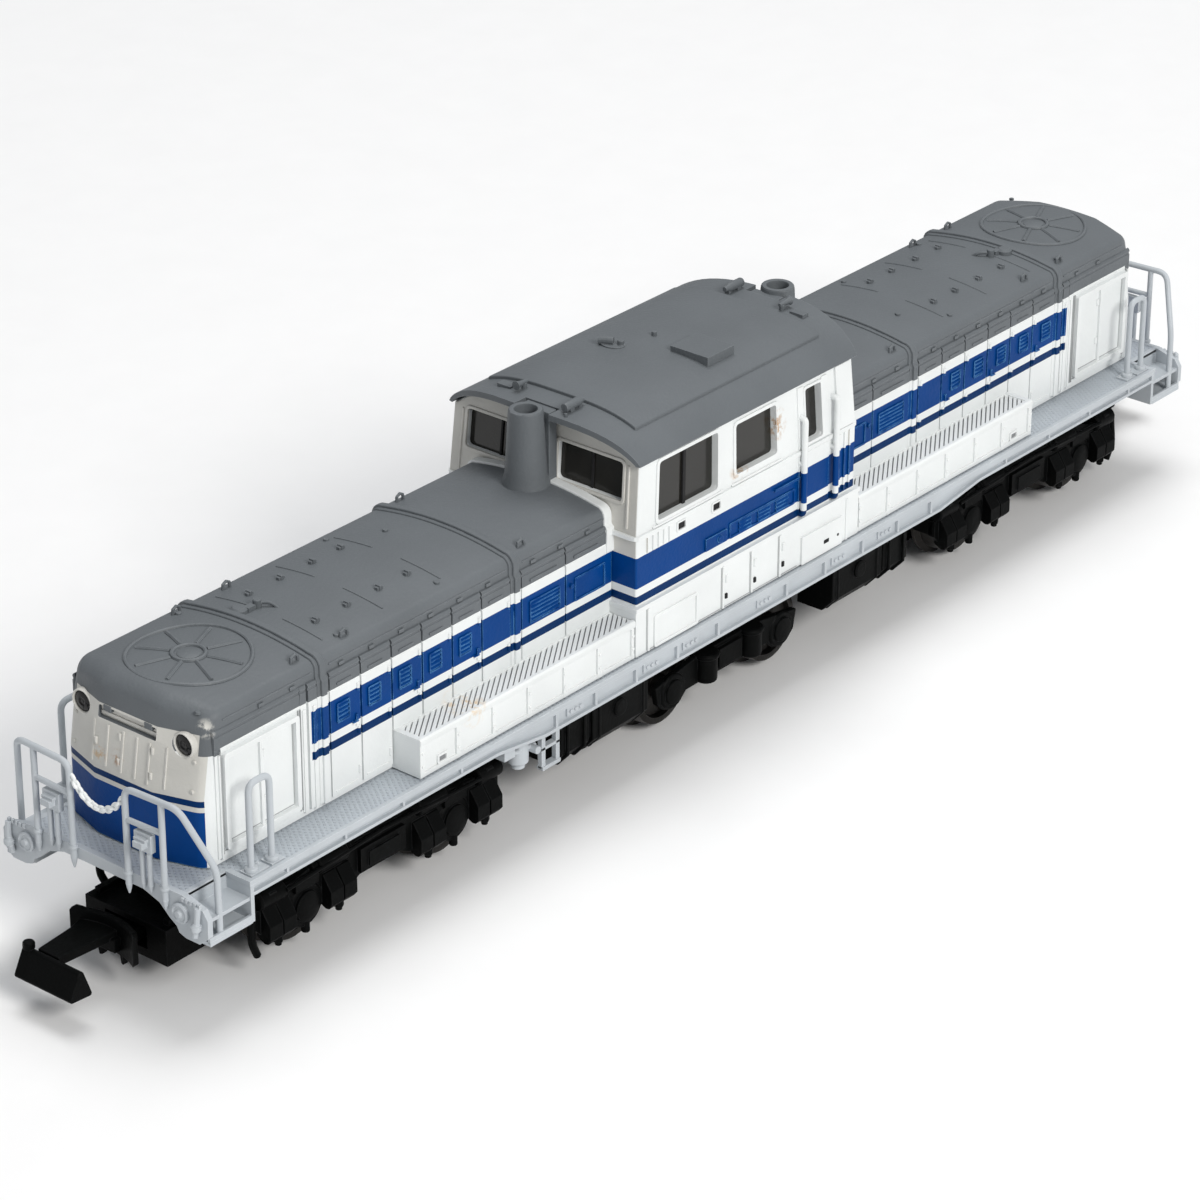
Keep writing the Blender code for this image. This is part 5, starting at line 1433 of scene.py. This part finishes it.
def wheels():
    """Turned wheels with a dished web, on every axle."""
    profile = [
        (0.2, 0.72), (3.8, 0.72), (3.8, 3.3), (3.9, 3.45), (4.15, 3.45), (4.35, 2.98), (5.9, 2.83),
        (5.95, 2.75), (5.95, 2.35), (5.5, 2.2), (5.5, 0.95), (5.95, 0.85), (5.95, 0.5), (6.75, 0.12),
    ]
    places = []
    for end, prefix in ((-1, "front"), (1, "rear")):
        for side, word in ((-1, "outer"), (1, "inner")):
            shift = side * POWER_BASE / 2
            x = end * BOGIE_X + (shift if end < 0 else -shift)
            places.append((f"{prefix}_{word}", x))
        places.append((f"centre_{prefix}", end * CENTRE_BASE / 2))
    for prefix, x in places:
        pair = Shape()
        for side in (-1, 1):
            pair.lathe("Y", [(side * y, r) for y, r in profile], (x, AXLE_Z), 48)
        names = [prefix + "_wheel_left", prefix + "_wheel_right"]
        piece(pair, prefix + "_wheels", [TYRE], 0, replaces=names, body=prefix + "_wheelset")


# ---------------------------------------------------------------- nodes that keep their solids

# A node with the slot: its material's name, colour, roughness and metallic value
KEPT = {
    "chassis_left": ("diecast_metal", (0.26, 0.26, 0.27), 0.5, 1.0),
    "front_chassis_screw": ("screw_steel", (0.55, 0.55, 0.56), 0.28, 1.0),
    "motor_frame": ("motor_steel", (0.5, 0.5, 0.51), 0.32, 1.0),
    "magnet_left": ("magnet_ferrite", (0.05, 0.05, 0.055), 0.6, 0.0),
    "armature": ("copper_winding", (0.6, 0.27, 0.12), 0.32, 1.0),
    "front_flywheel": ("turned_brass", (0.7, 0.5, 0.19), 0.27, 1.0),
    "front_worm_wheel": ("gear_acetal", (0.7, 0.69, 0.63), 0.42, 0.0),
    "front_light_board": ("green_laminate", (0.02, 0.14, 0.05), 0.4, 0.0),
    "front_light_guide": ("clear_guide", (0.62, 0.65, 0.68), 0.12, 0.0),
}


def kept_materials():
    """Gives each solid that still shows a finish by the slot it has in the record."""
    slots = {row["node"]: row["material_slot"] for row in frame["record"]["subparts"]}
    made = {}
    for example, (name, base, rough, metallic) in KEPT.items():
        made[slots[example]] = finish_material(name, base, rough, 0.1, metallic)
    made["black_plastic"] = BLACK
    made["wheel_metal"] = TYRE
    made["steel"] = made[slots["front_chassis_screw"]]
    made["grey_paint"] = GREY
    made["white_plastic"] = WHITE
    made["frame_grey_plastic"] = FRAME_GREY
    made["clear_plastic"] = made[slots["front_light_guide"]]
    for name, solid in frame["nodes"].items():
        solid.data.materials.clear()
        solid.data.materials.append(made[slots[name]])


# ---------------------------------------------------------------- camera and lights

def camera():
    data = bpy.data.cameras.new("camera")
    data.sensor_width = 36.0
    data.lens = CAMERA_LENS
    data.clip_start = 0.01
    data.clip_end = 5.0
    cam = bpy.data.objects.new("camera", data)
    bpy.context.scene.collection.objects.link(cam)
    azimuth, elevation, roll = (math.radians(v) for v in CAMERA_TURN)
    right = Vector((math.cos(azimuth), math.sin(azimuth), 0))
    level = Vector((math.sin(azimuth), -math.cos(azimuth), 0))
    back = level * math.cos(elevation) + Vector((0, 0, math.sin(elevation)))
    up = back.cross(right)
    turned_right = right * math.cos(roll) + up * math.sin(roll)
    turned_up = up * math.cos(roll) - right * math.sin(roll)
    columns = Matrix((turned_right, turned_up, back)).transposed().to_4x4()
    columns.translation = Vector(CAMERA_PLACE) * MM
    cam.matrix_world = columns
    bpy.context.scene.camera = cam


def area_light(name, place, size, power, colour=(1, 1, 1)):
    data = bpy.data.lights.new(name, "AREA")
    data.shape = "DISK"
    data.size = size
    data.energy = power
    data.color = colour
    lamp = bpy.data.objects.new(name, data)
    bpy.context.scene.collection.objects.link(lamp)
    lamp.location = place
    lamp.rotation_euler = (Vector((0, 0, 0.01)) - Vector(place)).to_track_quat("-Z", "Y").to_euler()


def studio():
    floor = Shape().box((-900, -900, -1.0), (900, 900, 0.0)).object("floor")
    floor.data.materials.append(finish_material("pale_floor", (0.9, 0.9, 0.9), 0.7, 0.01, bump=0.0))
    world = bpy.data.worlds.new("studio")
    world.use_nodes = True
    world.node_tree.nodes["Background"].inputs["Color"].default_value = (0.95, 0.97, 1.0, 1.0)
    world.node_tree.nodes["Background"].inputs["Strength"].default_value = 0.36
    bpy.context.scene.world = world
    area_light("key", (-0.15, -0.55, 0.4), 0.24, 3.0, (1.0, 0.98, 0.95))
    area_light("top", (0.15, 0.1, 0.6), 0.4, 2.0)
    bpy.context.scene.view_settings.view_transform = "Standard"


def main():
    camera()
    studio()
    kept_materials()
    hoods()
    hood_ribs()
    hood_doors()
    hood_side_details()
    end_panels()
    seam_shadow_strips()
    hood_collars()
    end_face_details()
    headlights()
    roof_fans()
    roof_fittings()
    roof_side_grooves()
    side_boxes()
    cab_walls()
    cab_lower()
    cab_side_details()
    window_glass()
    cab_roof()
    stacks()
    deck()
    sills()
    end_beams()
    railings()
    tanks()
    for end, prefix in ((-1, "front"), (1, "rear")):
        power_bogie_frame(prefix, end)
        coupler(prefix, end)
    centre_bogie_frame()
    wheels()


main()
